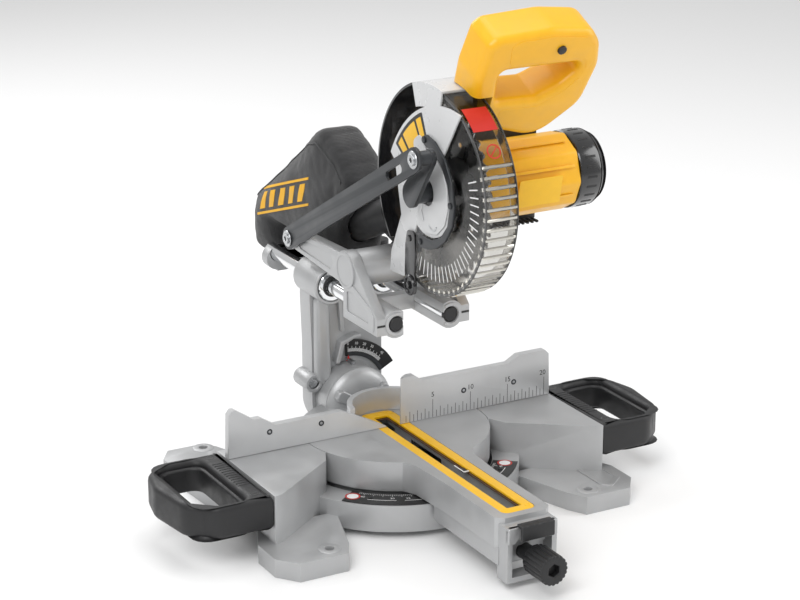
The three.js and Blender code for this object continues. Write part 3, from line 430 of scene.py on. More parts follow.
def polar(radius, degrees, a=0.0, b=0.0):
    """The point at an angle on a circle about a, b."""
    t = math.radians(degrees)
    return a + radius * math.cos(t), b + radius * math.sin(t)


def around(middle, points):
    """An outline that is given from its own middle."""
    return [(middle[0] + a, middle[1] + b) for a, b in points]


def oblong(a0, a1, b0, b1):
    return [(a0, b0), (a1, b0), (a1, b1), (a0, b1)]


def mirrored(points, side):
    return [(a * side, b) for a, b in points]


def curved(points, radius, steps=5):
    """The outline with its corners rounded; radius is one number or one per corner."""
    count = len(points)
    out = []
    for index in range(count):
        corner, before, after = (Vector(points[(index + k) % count]) for k in (0, -1, 1))
        size = radius[index] if isinstance(radius, (list, tuple)) else radius
        one, two = before - corner, after - corner
        angle = one.angle(two)
        reach = min(size / math.tan(angle / 2), one.length * 0.48, two.length * 0.48) if size else 0
        if reach < 0.01 or angle > 3.1:
            out.append(tuple(corner))
            continue
        start, end = corner + one.normalized() * reach, corner + two.normalized() * reach
        for step in range(steps + 1):
            t = step / steps
            out.append(tuple(start * (1 - t) ** 2 + corner * 2 * t * (1 - t) + end * t * t))
    return out


def circle(radius, a=0.0, b=0.0, steps=48):
    turns = [2 * math.pi * k / steps for k in range(steps)]
    return [(a + radius * math.cos(t), b + radius * math.sin(t)) for t in turns]


def arc_band(inner, outer, start, end, a=0.0, b=0.0, steps=40):
    """A piece of a ring, angles in degrees."""
    angles = [math.radians(start + (end - start) * k / steps) for k in range(steps + 1)]
    rim = [(a + outer * math.cos(t), b + outer * math.sin(t)) for t in angles]
    return rim + [(a + inner * math.cos(t), b + inner * math.sin(t)) for t in reversed(angles)]


def evaluated(obj):
    """The finished mesh of an object with curves or modifiers; the object itself goes."""
    SCENE.collection.objects.link(obj)
    graph = bpy.context.evaluated_depsgraph_get()
    mesh = bpy.data.meshes.new_from_object(obj.evaluated_get(graph))
    data = obj.data
    bpy.data.objects.remove(obj)
    (bpy.data.curves if isinstance(data, bpy.types.Curve) else bpy.data.meshes).remove(data)
    bm = bmesh.new()
    bm.from_mesh(mesh)
    bpy.data.meshes.remove(mesh)
    return bm


def plate(loops, low, high, edge=0.0, axis="Z", place=None, segments=3):
    """A flat piece from closed outlines (the inner ones are holes) with rounded rims."""
    curve = bpy.data.curves.new("outline", "CURVE")
    curve.dimensions = "2D"
    curve.fill_mode = "BOTH"
    curve.extrude = max((high - low) / 2 - edge, 0.001)
    curve.bevel_depth = edge
    curve.bevel_resolution = segments
    curve.offset = -edge
    for loop in loops:
        spline = curve.splines.new("POLY")
        spline.points.add(len(loop) - 1)
        for point, (a, b) in zip(spline.points, loop):
            point.co = (a, b, 0, 1)
        spline.use_cyclic_u = True
    bm = evaluated(bpy.data.objects.new("outline", curve))
    bmesh.ops.remove_doubles(bm, verts=bm.verts, dist=0.002)
    bmesh.ops.recalc_face_normals(bm, faces=bm.faces)
    bm.transform(placing(axis, place) @ Matrix.Translation((0, 0, (low + high) / 2)))
    return bm


def turned(profile, axis="Z", a=0.0, b=0.0, sides=48, place=None):
    """A round piece: profile is (along the axis, radius), centred on a, b of the outline plane."""
    bm = bmesh.new()
    verts = [bm.verts.new((radius, 0, along)) for along, radius in profile]
    edges = [bm.edges.new(pair) for pair in zip(verts, verts[1:])]
    bmesh.ops.spin(bm, geom=verts + edges, cent=(0, 0, 0), axis=(0, 0, 1), dvec=(0, 0, 0),
                   angle=2 * math.pi, steps=sides, use_duplicate=False)
    bmesh.ops.remove_doubles(bm, verts=bm.verts, dist=0.005)
    bmesh.ops.recalc_face_normals(bm, faces=bm.faces)
    bm.transform(placing(axis, place) @ Matrix.Translation((a, b, 0)))
    return bm


def knob_profile(low, high, radius, edge):
    return [(low, 0), (low, radius - edge), (low + edge * 0.3, radius - edge * 0.3), (low + edge, radius),
            (high - edge, radius), (high - edge * 0.3, radius - edge * 0.3), (high, radius - edge), (high, 0)]


def block(x0, x1, y0, y1, z0, z1, edge=0.0, place=None):
    bm = bmesh.new()
    size = Matrix.Diagonal((x1 - x0, y1 - y0, z1 - z0, 1))
    middle = Matrix.Translation(((x0 + x1) / 2, (y0 + y1) / 2, (z0 + z1) / 2))
    bmesh.ops.create_cube(bm, size=1, matrix=middle @ size)
    if edge:
        soften(bm, edge, 3, 30)
    bm.transform(placing("Z", place))
    return bm


def lettering(text, size, place, depth=0.08, align="CENTER"):
    """Small printed figures on a flat spot, x to the right and y up."""
    curve = bpy.data.curves.new("figures", "FONT")
    curve.body = text
    curve.size = size
    curve.extrude = depth
    curve.resolution_u = 3
    curve.align_x = align
    curve.align_y = "CENTER"
    bm = evaluated(bpy.data.objects.new("figures", curve))
    bm.transform(place @ Matrix.Scale(MM, 4))
    return bm


def bundle(pieces):
    whole = bmesh.new()
    for bm in pieces:
        mesh = bpy.data.meshes.new("loose")
        bm.to_mesh(mesh)
        bm.free()
        whole.from_mesh(mesh)
        bpy.data.meshes.remove(mesh)
    return whole


def carve(bm, cutters):
    """Takes solid cutters out of a solid."""
    mesh = bpy.data.meshes.new("blank")
    bm.to_mesh(mesh)
    bm.free()
    blank = bpy.data.objects.new("blank", mesh)
    tools = []
    for cutter in cutters:
        tool_mesh = bpy.data.meshes.new("cutter")
        cutter.to_mesh(tool_mesh)
        cutter.free()
        tool = bpy.data.objects.new("cutter", tool_mesh)
        SCENE.collection.objects.link(tool)
        step = blank.modifiers.new("cut", "BOOLEAN")
        step.operation = "DIFFERENCE"
        step.solver = "EXACT"
        step.object = tool
        tools.append(tool)
    out = evaluated(blank)
    for tool in tools:
        tool_mesh = tool.data
        bpy.data.objects.remove(tool)
        bpy.data.meshes.remove(tool_mesh)
    return out


def show(pieces, name, body, finish, stands_for=(), smooth=32):
    whole = bundle(pieces if isinstance(pieces, list) else [pieces])
    return from_bmesh(whole, name, body, finish, stands_for, smooth)


# ---- fences -------------------------------------------------------------------------
def ruler_marks():
    """Half-centimetre lines with a longer one every centimetre and every fifth."""
    pieces = []
    for step in range(3, 41):
        x = step * 5.0
        tall = 23 if step % 10 == 0 else 13 if step % 2 == 0 else 9
        pieces.append(block(x - 0.28, x + 0.28, -0.08, 0.1, 0.8, tall))
    for centimetres in (5, 10, 15, 20):
        spot = on_face(centimetres * 10 - (2 if centimetres == 20 else 0), -0.05, 28.5, (1, 0, 0), (0, 0, 1))
        pieces.append(lettering(str(centimetres), 8.5, spot))
    return pieces


def fence_screws(places, body, name):
    rims = [turned([(0.12, 1.6), (-0.5, 2.0), (-0.5, 3.1), (0.12, 3.5)], "Y", z, x, 24) for x, z in places]
    show(rims, name + "_screw_rims", body, "dark_steel")
    cores = [turned(knob_profile(-0.35, 1.0, 1.7, 0.4), "Y", z, x, 20) for x, z in places]
    show(cores, name + "_screws", body, "bright_steel")


def make_fences():
    refine("fence", 0.7, "fence_paint")
    refine("left_fence", 0.7, "fence_paint")
    show(ruler_marks(), "fence_rule", "base", "print_black")
    fence_screws([(91, 26), (158.5, 24)], "base", "right_fence")
    fence_screws([(-93, 21), (-157, 23)], "left_fence", "left_fence")


# ---- table --------------------------------------------------------------------------
LOCK_KNOB_Z = -42


def radial_mark(inner, outer, degrees, wide, z, a=0.0, b=0.0):
    turn = Matrix.Translation(DECK) @ Matrix.Rotation(math.radians(degrees), 4, "Z")
    return block(inner, outer, -wide / 2, wide / 2, z - 0.05, z + 0.06, 0, turn)


def make_miter_scale():
    top = -35.5
    marks = [radial_mark(114.5, 117.5 if d % 5 else 120.5, 270 + d, 0.45, top) for d in range(-48, 49)]
    for degrees in (0, 10, 15, 22, 30, 45, -10, -15, -22, -30, -45):
        radial = Vector((*polar(1, 270 + degrees), 0))
        spot = on_face(radial.x * 125, radial.y * 125, top, radial.cross(Vector((0, 0, -1))), -radial)
        marks.append(lettering(str(abs(degrees)), 5.0, spot))
    marks += [plate([arc_band(130, 130.8, start, start + 14)], top - 0.05, top + 0.06)
              for start in (228, 246, 264, 283, 300)]
    show(marks, "miter_scale_marks", "base", "print_white")
    rings, dots = [], []
    for degrees in (-50, 50):
        x, y = polar(127, 270 + degrees)
        rings.append(plate([circle(8.5, x, y, 32), circle(7.0, x, y, 32)], top - 0.05, top + 0.08))
        dots.append(plate([circle(6.4, x, y, 32)], top - 0.05, top + 0.06))
    show(rings, "scale_rings", "base", "print_red")
    show(dots, "scale_ring_fields", "base", "print_white")
    screws = [turned(knob_profile(top, top + 1.0, 2.6, 0.5), "Z", *polar(126, 270 + d), 20)
              for d in (-41, -14, 14, 41)]
    show(screws, "scale_screws", "base", "black_plastic")
    refine("miter_scale", 0.3)


def slot_outline(half, front, rear, corner):
    return curved(oblong(-half, half, front, rear), corner)


def make_table():
    insert = [slot_outline(20, -271, 47, 9), slot_outline(9, -259, 33, 2)]
    show(plate(insert, -3, -0.1, 0.6), "insert_plate", "turntable", "yellow_bright",
         ("kerf_plate",))
    # A dark plate under the insert's slot, where the turntable's top lies lower: painted shade in the slot.
    shade_plate = [slot_outline(10.6, -263, 37, 2), slot_outline(6.6, -256, 30, 2)]
    show(plate(shade_plate, -4.4, -3.2, 0.3), "slot_shade_plate", "turntable", "slot_shade_brown")
    clip = [block(2, 8.6, -150, -140, -2.9, -1.6, 0.4), block(-8.6, -7, -150, -140, -2.9, -1.6, 0.4)]
    show(clip, "slot_clip", "turntable", "black_plastic")
    show([block(2, 8.6, -152, -150.6, -2.4, -0.9, 0.3), block(2, 3.2, -150, -130, -2.4, -1.4, 0.2)],
         "slot_clip_wire", "turntable", "print_white")
    screws = [turned([(-0.1, 0), (-0.4, 1.6), (0.25, 2.0), (0.25, 3.2), (-0.2, 3.6)], "Z", x, y, 24)
              for x, y in ((-14.5, -262), (14.5, -262), (-14.5, 38), (14.5, 38), (14.5, -120), (-14.5, -120))]
    show(screws, "insert_screws", "turntable", "yellow_bright")
    make_miter_scale()


def make_lock_knob():
    flutes, radius, flute_depth = 20, 16.9, 0.07
    outline = []
    for step in range(flutes * 6):
        t = 2 * math.pi * step / (flutes * 6)
        reach = radius * (1 - flute_depth * (1 - abs(math.cos(flutes * t / 2))))
        outline.append((LOCK_KNOB_Z + reach * math.cos(t), reach * math.sin(t)))
    grip = plate([outline, circle(7.2, LOCK_KNOB_Z, 0, 6)], -338, -302, 2.0, "Y")
    floor = turned(knob_profile(-330, -303, 12, 0.5), "Y", LOCK_KNOB_Z, 0, 24)
    collar = [(-303, 0), (-303, 13.5), (-301, 14.5), (-299.5, 14.5), (-299.3, 0)]
    rod = [(-301, 0), (-301, 8.8), (-143.5, 8.8), (-143, 8.3), (-143, 0)]
    pieces = [grip, floor, turned(collar, "Y", LOCK_KNOB_Z, 0, 48), turned(rod, "Y", LOCK_KNOB_Z, 0, 40)]
    show(pieces, "turntable_lock", "miter_lock_knob", "black_plastic", ("miter_lock_knob",))


# ---- carrying handles ---------------------------------------------------------------
def make_side_handle(name, side):
    outer = [(208.2, -114), (272, -114), (301, -88), (309, -28), (300, 12), (272, 29), (208.2, 29)]
    shell = [curved(mirrored(outer, side), [2, 20, 26, 34, 26, 20, 2]),
             curved(mirrored(oblong(233, 289, -105, 19), side), 16)]
    ledge = [curved(mirrored(oblong(232, 290, -106, 20), side), 16),
             curved(mirrored(oblong(238, 284, -100, 14), side), 15)]
    pieces = [plate(shell, -38, -0.4, 6.5), plate(ledge, -35, -7, 3.0)]
    show(pieces, name + "_moulding", "base", "black_plastic", (name,))
    bolt = [(-1.2, 0), (-1.2, 3.2), (-0.25, 3.8), (-0.25, 4.6), (-0.6, 5.0)]
    show([turned(bolt, "Z", 222 * side, y, 24) for y in (-96, 16)], name + "_bolts", "base", "gloss_black")
    near, far = sorted((side * 213, side * 229))
    grooves = [block(near, far, y, y + 1.1, -0.5, 0.0, 0.25) for y in range(-70, 2, 6)]
    show(grooves, name + "_grip_lines", "base", "black_plastic")


# ---- main handle --------------------------------------------------------------------
def handle_place():
    lean = math.radians(26.7)
    up = Vector((0, -math.sin(lean), math.cos(lean)))
    across = Vector((1, 0, 0))
    turn = Matrix((across, up, across.cross(up))).transposed().to_4x4()
    return Matrix.Translation(deck(0, -170, 480)) @ turn


HANDLE = handle_place()
HANDLE_OUTER = [(3, 4), (12, 13), (78, 17), (128, 10), (142, -8), (149, -36), (142, -86), (96, -128),
                (30, -106), (4, -82), (0, -40)]
HANDLE_HOLE = [(27, -31), (120, -31), (124, -42), (108, -58), (82, -72), (32, -70)]
HANDLE_OUTER_CURVES = [10, 14, 60, 22, 30, 40, 34, 40, 24, 30, 40]
HANDLE_HOLE_CURVES = [9, 8, 8, 20, 14, 9]


def make_handle():
    blade_room = turned([(-50, 0), (-50, 117.5), (25, 117.5), (25, 0)], "X", *ARBOR_YZ, 96)
    loops = [curved(HANDLE_OUTER, HANDLE_OUTER_CURVES, 10), curved(HANDLE_HOLE, HANDLE_HOLE_CURVES, 8)]
    whole = carve(plate(loops, -24, 24, 9, "Z", HANDLE, 6), [blade_room])
    show(whole, "handle_shell", "head", "yellow_plastic", ("handle_front_half", "handle_rear_half"))
    upper = [(30, 3), (40, 8), (78, 10), (122, 4), (134, -8), (138, -30), (132, -42), (128, -26), (118, -22),
             (34, -22)]
    lower = [(38, -80), (84, -82), (112, -66), (128, -48), (134, -60), (128, -84), (94, -114), (40, -100)]
    for outline, corner, top, name in ((upper, 5, 24.35, "grip_panel"), (lower, 6, 24.3, "grip_low_panel")):
        panel = plate([curved(outline, corner)], 23.6, top, 0.3, "Z", HANDLE)
        show(panel, name, "head", "yellow_plastic")


# ---- clear lower guard --------------------------------------------------------------
def guard_turn(degrees):
    """A frame on the arbor: local x across the saw, y outwards along the angle from straight ahead."""
    t = math.radians(degrees)
    out = Vector((0, -math.cos(t), math.sin(t)))
    across = Vector((1, 0, 0))
    turn = Matrix((across, out, across.cross(out))).transposed().to_4x4()
    return Matrix.Translation(deck(0, *ARBOR_YZ)) @ turn


def guard_rib(degrees):
    """A folded rib over the rim, hooked down at both walls."""
    profile = [(-18.6, 106), (-18.8, 110.2), (-16.5, 112.1), (16.5, 112.1), (18.8, 110.2), (18.6, 106)]
    bm = bmesh.new()
    rows = []
    for shift, lift in ((-1.7, -0.9), (-0.8, 0.5), (0.8, 0.5), (1.7, -0.9)):
        rows.append([bm.verts.new((x, y + lift, shift)) for x, y in profile])
    for row, below in zip(rows, rows[1:]):
        for k in range(len(profile) - 1):
            bm.faces.new((row[k], row[k + 1], below[k + 1], below[k]))
    bmesh.ops.recalc_face_normals(bm, faces=bm.faces)
    bmesh.ops.solidify(bm, geom=bm.faces[:], thickness=-0.6)
    bm.transform(guard_turn(degrees) @ Matrix.Scale(MM, 4))
    return bm


def make_lower_guard():
    refine("lower_guard", 0.4)
    # Real ribs on the rim; their silver metal finish is a painted highlight on the clear plastic.
    ribs = [guard_rib(26 - 5.6 * k) for k in range(24)]
    show(ribs, "guard_ribs", "lower_guard", "guard_rib")
    # White strips on the left wall where the slits are: a painted highlight for the light seen in the clear
    # guard's slits.
    slot_highlights = []
    for k in range(26):
        degrees = 38 - 5.2 * k
        place = guard_turn(degrees) @ Matrix.Rotation(math.radians(18), 4, "X")
        slot_highlights.append(block(-19.25, -18.9, 80, 97, -0.7, 0.7, 0.15, place))
    show(slot_highlights, "guard_slot_highlights", "lower_guard", "print_white")
    rim = [arc_band(108.6, 112.3, 102, 288, *ARBOR_YZ, 72)]
    edges = [plate(rim, -19.4, -18.2, 0.4, "X"), plate(rim, 18.2, 19.4, 0.4, "X"),
             plate([arc_band(40, 44, 102, 288, *ARBOR_YZ, 60)], -19.5, -18.6, 0.3, "X")]
    show(edges, "guard_edge_beads", "lower_guard", "guard_edge")
    sticker = plate([arc_band(112.1, 112.35, 118, 134, *ARBOR_YZ, 16)], -15, 14, 0, "X")
    show(sticker, "guard_red_sticker", "lower_guard", "print_red")
    spot = guard_turn(34) @ Matrix.Translation((0, 112.3 * MM, 0)) @ Matrix.Rotation(-math.pi / 2, 4, "X")
    disc = [plate([circle(8, steps=32), circle(6.6, steps=32)], -0.1, 0.15, 0, "Z", spot),
            block(-6, 6, -0.6, 0.6, -0.1, 0.15, 0, spot @ Matrix.Rotation(math.radians(45), 4, "Z"))]
    show(disc, "guard_red_ring", "lower_guard", "print_red")


# ---- blade --------------------------------------------------------------------------
# one tooth from tip to tip: the share of its pitch and the radius there
TOOTH = [(0.0, 91.9), (0.12, 91.2), (0.2, 84.5), (0.42, 85.5), (0.72, 90.4), (0.94, 91.6)]


def make_blade():
    teeth = 40
    outline = []
    for k in range(teeth):
        base = 2 * math.pi * k / teeth
        for share, radius in TOOTH:
            t = base + share * 2 * math.pi / teeth
            outline.append((ARBOR_YZ[0] + radius * math.cos(t), ARBOR_YZ[1] + radius * math.sin(t)))
    loops = [outline, circle(8, *ARBOR_YZ, 40)]
    for k in range(4):
        t = math.pi / 2 * k + 0.5
        loops.append(circle(3, ARBOR_YZ[0] + 62 * math.cos(t), ARBOR_YZ[1] + 62 * math.sin(t), 20))
    show(plate(loops, -0.8, 0.8, 0.1, "X"), "toothed_blade", "blade", "blade_steel", ("saw_blade",), 25)
    tips = []
    for k in range(teeth):
        t = math.degrees(2 * math.pi * k / teeth)
        place = Matrix.Translation(deck(0, *ARBOR_YZ)) @ Matrix.Rotation(math.radians(t), 4, "X")
        tips.append(block(-1.1, 1.1, 87.4, 91.9, -0.9, 0.1, 0.15, place))
    show(tips, "blade_tips", "blade", "bright_steel")
    for node, width in (("blade_flange", 0.5), ("blade_bolt", 0.8), ("spindle", 0.5)):
        refine(node, width)


# ---- upper guard --------------------------------------------------------------------
GUARD_FACE = -22.75


def guard_screw(y, z, out, radius=3.6):
    """A screw head, its place given from the arbor and its seat's height above the guard's left face."""
    left = GUARD_FACE - out
    profile = [(left - 1.6, 0), (left - 1.7, radius - 1), (left - 1.2, radius), (left + 0.4, radius),
               (left + 0.4, 0)]
    return turned(profile, "X", ARBOR_YZ[0] + y, ARBOR_YZ[1] + z, 28)


def guard_plate(outline, corner, out, low, edge, holes=()):
    """A flat piece on the guard's left face, its outline given from the arbor."""
    loops = [curved(around(ARBOR_YZ, outline), corner), *holes]
    return plate(loops, GUARD_FACE - out, GUARD_FACE - low, edge, "X")


def make_guard_badge():
    middle = (ARBOR_YZ[0] - 38, ARBOR_YZ[1] - 37)
    field = [curved(arc_band(99, 131, 34, 66, *middle, 20), 3)]
    show(plate(field, GUARD_FACE + 0.05, GUARD_FACE + 0.36, 0.1, "X"), "guard_badge_field", "head",
         "print_black")
    for k, (start, end) in enumerate(((36, 41), (43, 57), (59, 64))):
        stripe = [curved(arc_band(103, 127, start, end, *middle, 14), 1.5)]
        show(plate(stripe, GUARD_FACE - 0.1, GUARD_FACE + 0.36, 0.1, "X"), "guard_badge_%d" % k, "head",
             "yellow_bright")


def make_retainer():
    arc = [(12, 57), (2, 49), (-12, 47), (-30, 36), (-44, 18), (-49, -4), (-44, -26), (-30, -42), (-10, -50),
           (14, -50), (20, -60), (10, -64), (-4, -62), (-22, -56), (-40, -44), (-54, -24), (-58, -2),
           (-53, 22), (-38, 44), (-16, 58), (2, 62)]
    show(guard_plate(arc, 5, 3, -0.2, 0.9), "guard_retaining_arc", "head", "dark_steel",
         ("guard_retainer",))
    screws = [guard_screw(y, z, 3) for y, z in ((4, 56), (-51, -2), (12, -57))]
    show(screws, "guard_tab_screws", "head", "dark_steel")


def make_inner_cover():
    cover = [(30, 50), (16, 60), (2, 44), (-14, 42), (-32, 30), (-41, 12), (-43, -8), (-36, -28), (-20, -42),
             (2, -46), (16, -40), (20, -24), (14, -6), (26, 14), (28, 30)]
    bolt_hole = circle(15, ARBOR_YZ[0] + 2, ARBOR_YZ[1], 40)
    show(guard_plate(cover, 8, 1.6, -0.2, 0.8, [bolt_hole]), "embossed_cover", "head", "machined",
         ("guard_inner_cover",))
    ridge = [(22, 44), (10, 36), (19, 16), (8, -4), (14, -22), (9, -34), (6, -33), (11, -22), (5, -4),
             (16, 16), (6.5, 37), (20, 47)]
    show(guard_plate(ridge, 2.5, 2.3, 1.4, 0.4), "cover_ridge", "head", "machined")
    mark = arc_band(8, 10, 200, 330, -12, -30, 16)
    show(guard_plate(mark, 0.8, 2.2, 1.4, 0.3), "cover_mark", "head", "bright_steel")


def make_guard_bracket():
    bracket = [(26, -50), (42, -52), (46, -70), (47, -100), (44, -118), (30, -122), (22, -112), (26, -96),
               (24, -74)]
    left = GUARD_FACE
    profile = [(left - 5.5, 0), (left - 5.5, 4), (left - 3.5, 4.4), (left - 3.5, 8), (left - 5, 8.6),
               (left - 5, 10.5), (left - 3.8, 11.5), (left - 0.3, 11.5), (left - 0.3, 0)]
    y, z = ARBOR_YZ[0] + 34, ARBOR_YZ[1] - 112
    boss = turned(profile, "X", y, z, 36)
    hexagon = plate([circle(3.4, y, z, 6)], left - 6.6, left - 5.2, 0.3, "X")
    show([guard_plate(bracket, 6, 2.4, 0.1, 0.8), boss, hexagon, guard_screw(36, -60, 2.4)],
         "guard_stop_bracket", "head", "gloss_black", ("guard_bracket",))


def make_upper_guard():
    refine("upper_guard", 0.5)
    refine("guard_shroud", 0.8)
    make_guard_badge()
    make_retainer()
    make_inner_cover()
    make_guard_bracket()
    rivets = [guard_screw(56, 26, 0.2, 2.6), guard_screw(40, -20, 0.2, 3.0)]
    show(rivets, "plate_screws", "head", "dark_steel")


# ---- motor --------------------------------------------------------------------------
MOTOR_RIB = 1.6


def motor_turn(degrees):
    """A frame on the motor axis: local x along the motor, z outwards at the angle."""
    t = math.radians(degrees)
    out = Vector((0, math.cos(t), math.sin(t)))
    along = Vector((1, 0, 0))
    turn = Matrix((along, out.cross(along), out)).transposed().to_4x4()
    return Matrix.Translation(deck(0, *MOTOR_YZ)) @ turn


def make_motor():
    y, z = MOTOR_YZ
    faceted = [polar(44, a, y, z) for a in (20, 62, 100, 140, 185, 222, 262, 300, 340)]
    shell = plate([curved(faceted, 9, 6), circle(36, y, z, 48)], 62.5, 160, 2.0, "X")
    rails = [block(66, 152, -MOTOR_RIB, MOTOR_RIB, 42.2, 43.8, 0.6, motor_turn(a)) for a in (118, 160, 205)]
    show([shell] + rails, "motor_shell", "head", "yellow_plastic", ("motor_housing",))
    r = 43
    profile = [(160.4, 30), (160.4, r - 1), (161.5, r), (184, r), (191, r - 3), (196, r - 9), (199, r - 17),
               (200, r - 26), (200, 0), (196, 0), (196, 30)]
    cap = turned(profile, "X", y, z, 56)
    rib = [(186, 40.5), (187, 42.6), (188.6, 40.2)]
    ribs = [turned([(x + 4 * k, radius - 2.2 * k) for x, radius in rib], "X", y, z, 56) for k in range(3)]
    show([cap] + ribs, "motor_cap", "head", "gloss_black", ("motor_end_cap",))
    vents = [block(168, 181, -1.4, 1.4, 42.0, 43.3, 0.4, motor_turn(a)) for a in range(60, 330, 15)]
    show(vents, "cap_vents", "head", "black_plastic")
    label = plate([curved(oblong(80, 134, -15, 17), 2)], 43.3, 43.9, 0.1, "Z", motor_turn(191))
    show(label, "blank_rating_plate", "head", "yellow_bright")
    refine("gear_case", 2.0)
    refine("battery_dock", 1.6)
    fins = [block(76 + 6 * k, 79 + 6 * k, y + 18, y + 58, z - 63.2, z - 60.5, 0.6) for k in range(12)]
    show(fins, "dock_fins", "head", "black_plastic")


# ---- dust bag -----------------------------------------------------------------------
BAG_SQUARE = 0.0045
NECK_END = 0.092
MOST_SWELL = 0.008


def bag_blank():
    """The bag's outer shape as an even mesh of small squares."""
    mesh = bpy.data.meshes.new("bag_blank")
    bm = node_solid("dust_bag")
    bm.to_mesh(mesh)
    bm.free()
    blank = bpy.data.objects.new("bag_blank", mesh)
    squares = blank.modifiers.new("squares", "REMESH")
    squares.mode = "VOXEL"
    squares.voxel_size = BAG_SQUARE
    soft = blank.modifiers.new("soft", "SMOOTH")
    soft.factor = 0.5
    soft.iterations = 5
    return evaluated(blank)


def blow_up(bm):
    """A short cloth run with air inside; the neck stays on the dust port."""
    mesh = bpy.data.meshes.new("bag_cloth")
    bm.to_mesh(mesh)
    bm.free()
    bag = bpy.data.objects.new("bag_cloth", mesh)
    SCENE.collection.objects.link(bag)
    neck = bag.vertex_groups.new(name="neck")
    rest = [vert.co.copy() for vert in mesh.vertices]
    neck.add([v.index for v in mesh.vertices if v.co.y < NECK_END], 1.0, "REPLACE")
    step = bag.modifiers.new("cloth", "CLOTH")
    cloth = step.settings
    cloth.vertex_group_mass = "neck"
    cloth.use_pressure = True
    cloth.uniform_pressure_force = 4.0
    cloth.effector_weights.gravity = 0.0
    cloth.quality = 5
    cloth.mass = 0.3
    step.point_cache.frame_start = 1
    step.point_cache.frame_end = 20
    for frame_number in range(1, 21):
        SCENE.frame_set(frame_number)
    graph = bpy.context.evaluated_depsgraph_get()
    blown = bag.evaluated_get(graph).to_mesh()
    places = [vert.co.copy() for vert in blown.vertices]
    bag.evaluated_get(graph).to_mesh_clear()
    bag.modifiers.clear()
    SCENE.frame_set(1)
    out = bmesh.new()
    out.from_mesh(mesh)
    bpy.data.objects.remove(bag)
    for vert, start, end in zip(out.verts, rest, places):
        shift = end - start
        vert.co = start + shift * min(1.0, MOST_SWELL / max(shift.length, 1e-6))
    return out


def add_folds(bm):
    """Slanting creases and soft dents, deepest in the middle of the panels."""
    bm.normal_update()
    for vert in bm.verts:
        along = vert.co.y * 9 + vert.co.z * 14
        across = vert.co.y * 24 - vert.co.z * 13
        wide = noise_field.noise(Vector((along, across, vert.co.x * 12)))
        crease = 1 - abs(noise_field.noise(Vector((along * 1.6 + 7, across * 2.4, vert.co.x * 8)))) * 2.4
        depth = 0.0016 * wide - 0.0009 * max(0.0, crease) ** 3
        vert.co += vert.normal * min(0.003, depth)


def make_bag():
    bm = bag_blank()
    bm = blow_up(bm)
    add_folds(bm)
    mesh = bpy.data.meshes.new("bag_fine")
    bm.to_mesh(mesh)
    bm.free()
    fine = bpy.data.objects.new("bag_fine", mesh)
    smoother = fine.modifiers.new("finer", "SUBSURF")
    smoother.levels = smoother.render_levels = 1
    bm = evaluated(fine)
    surface = BVHTree.FromBMesh(bm)
    bag = from_bmesh(bm, "blown_bag", "head", "bag_fabric", ("dust_bag",), 180)
    make_bag_trim(surface)


def draped(surface, rows, lift, thick=0.5):
    """A strip of rows of (y, z) points laid on the left face of the bag."""
    bm = bmesh.new()
    grid = []
    for row in rows:
        line = []
        for y, z in row:
            hit = surface.ray_cast(deck(-80, y, z), Vector((1, 0, 0)))[0]
            hit = hit or surface.find_nearest(deck(-28, y, z))[0]
            line.append(bm.verts.new(hit - Vector((lift * MM, 0, 0))))
        grid.append(line)
    for one, two in zip(grid, grid[1:]):
        for k in range(len(one) - 1):
            bm.faces.new((one[k], one[k + 1], two[k + 1], two[k]))
    bmesh.ops.recalc_face_normals(bm, faces=bm.faces)
    bmesh.ops.solidify(bm, geom=bm.faces[:], thickness=thick * MM)
    return bm


def between(start, end, share):
    return tuple(a + (b - a) * share for a, b in zip(start, end))


def patch(surface, corners, lift, across=24, up=6, thick=0.5):
    low_left, low_right, high_right, high_left = corners
    columns = [(between(low_left, low_right, k / across), between(high_left, high_right, k / across))
               for k in range(across + 1)]
    rows = [[between(low, high, r / up) for low, high in columns] for r in range(up + 1)]
    return draped(surface, rows, lift, thick)


def badge_point(share, rise):
    """A place on the badge: share along it from its rear end, and rise up it."""
    return 272 - 138 * share, 184 + 47 * share + 34 * rise


def make_bag_trim(surface):
    """A plain striped badge and seams; no lettering."""
    strips = []
    for rise in (0.0, 0.91):
        spots = ((0, rise), (1, rise), (1, rise + 0.09), (0, rise + 0.09))
        strips.append(patch(surface, [badge_point(*spot) for spot in spots], 0.5))
    for k in range(5):
        start = 0.06 + 0.185 * k
        spots = ((start, 0.2), (start + 0.09, 0.2), (start + 0.14, 0.8), (start + 0.05, 0.8))
        strips.append(patch(surface, [badge_point(*spot) for spot in spots], 0.5, 8, 10))
    show(strips, "bag_badge", "head", "badge_yellow")
    seam = [(300, 214), (262, 240), (220, 268), (180, 296), (148, 316), (130, 321), (108, 311), (90, 303),
            (70, 288)]
    seam_rows = [[(y, z - 14) for y, z in seam], [(y, z - 17) for y, z in seam]]
    floor_rows = [[(y, 158.0) for y in range(292, 256, -6)], [(y, 155.5) for y in range(292, 256, -6)]]
    back_rows = [[(296.0, z) for z in range(158, 206, 6)], [(293.0, z) for z in range(158, 206, 6)]]
    trims = [draped(surface, dense(rows), 0.4, 0.9) for rows in (seam_rows, floor_rows, back_rows)]
    show(trims, "bag_seams", "head", "bag_fabric")


def dense(rows, parts=4):
    out = []
    for row in rows:
        line = []
        for one, two in zip(row, row[1:]):
            line += [between(one, two, k / parts) for k in range(parts)]
        out.append(line + [row[-1]])
    return out


# ---- column and bevel hub -----------------------------------------------------------
RAIL_Z = 148
RAIL_X = 34


def bevel_turn(degrees, y):
    return Matrix.Translation(DECK + Vector((0, y * MM, 0))) @ Matrix.Rotation(math.radians(degrees), 4, "Y")


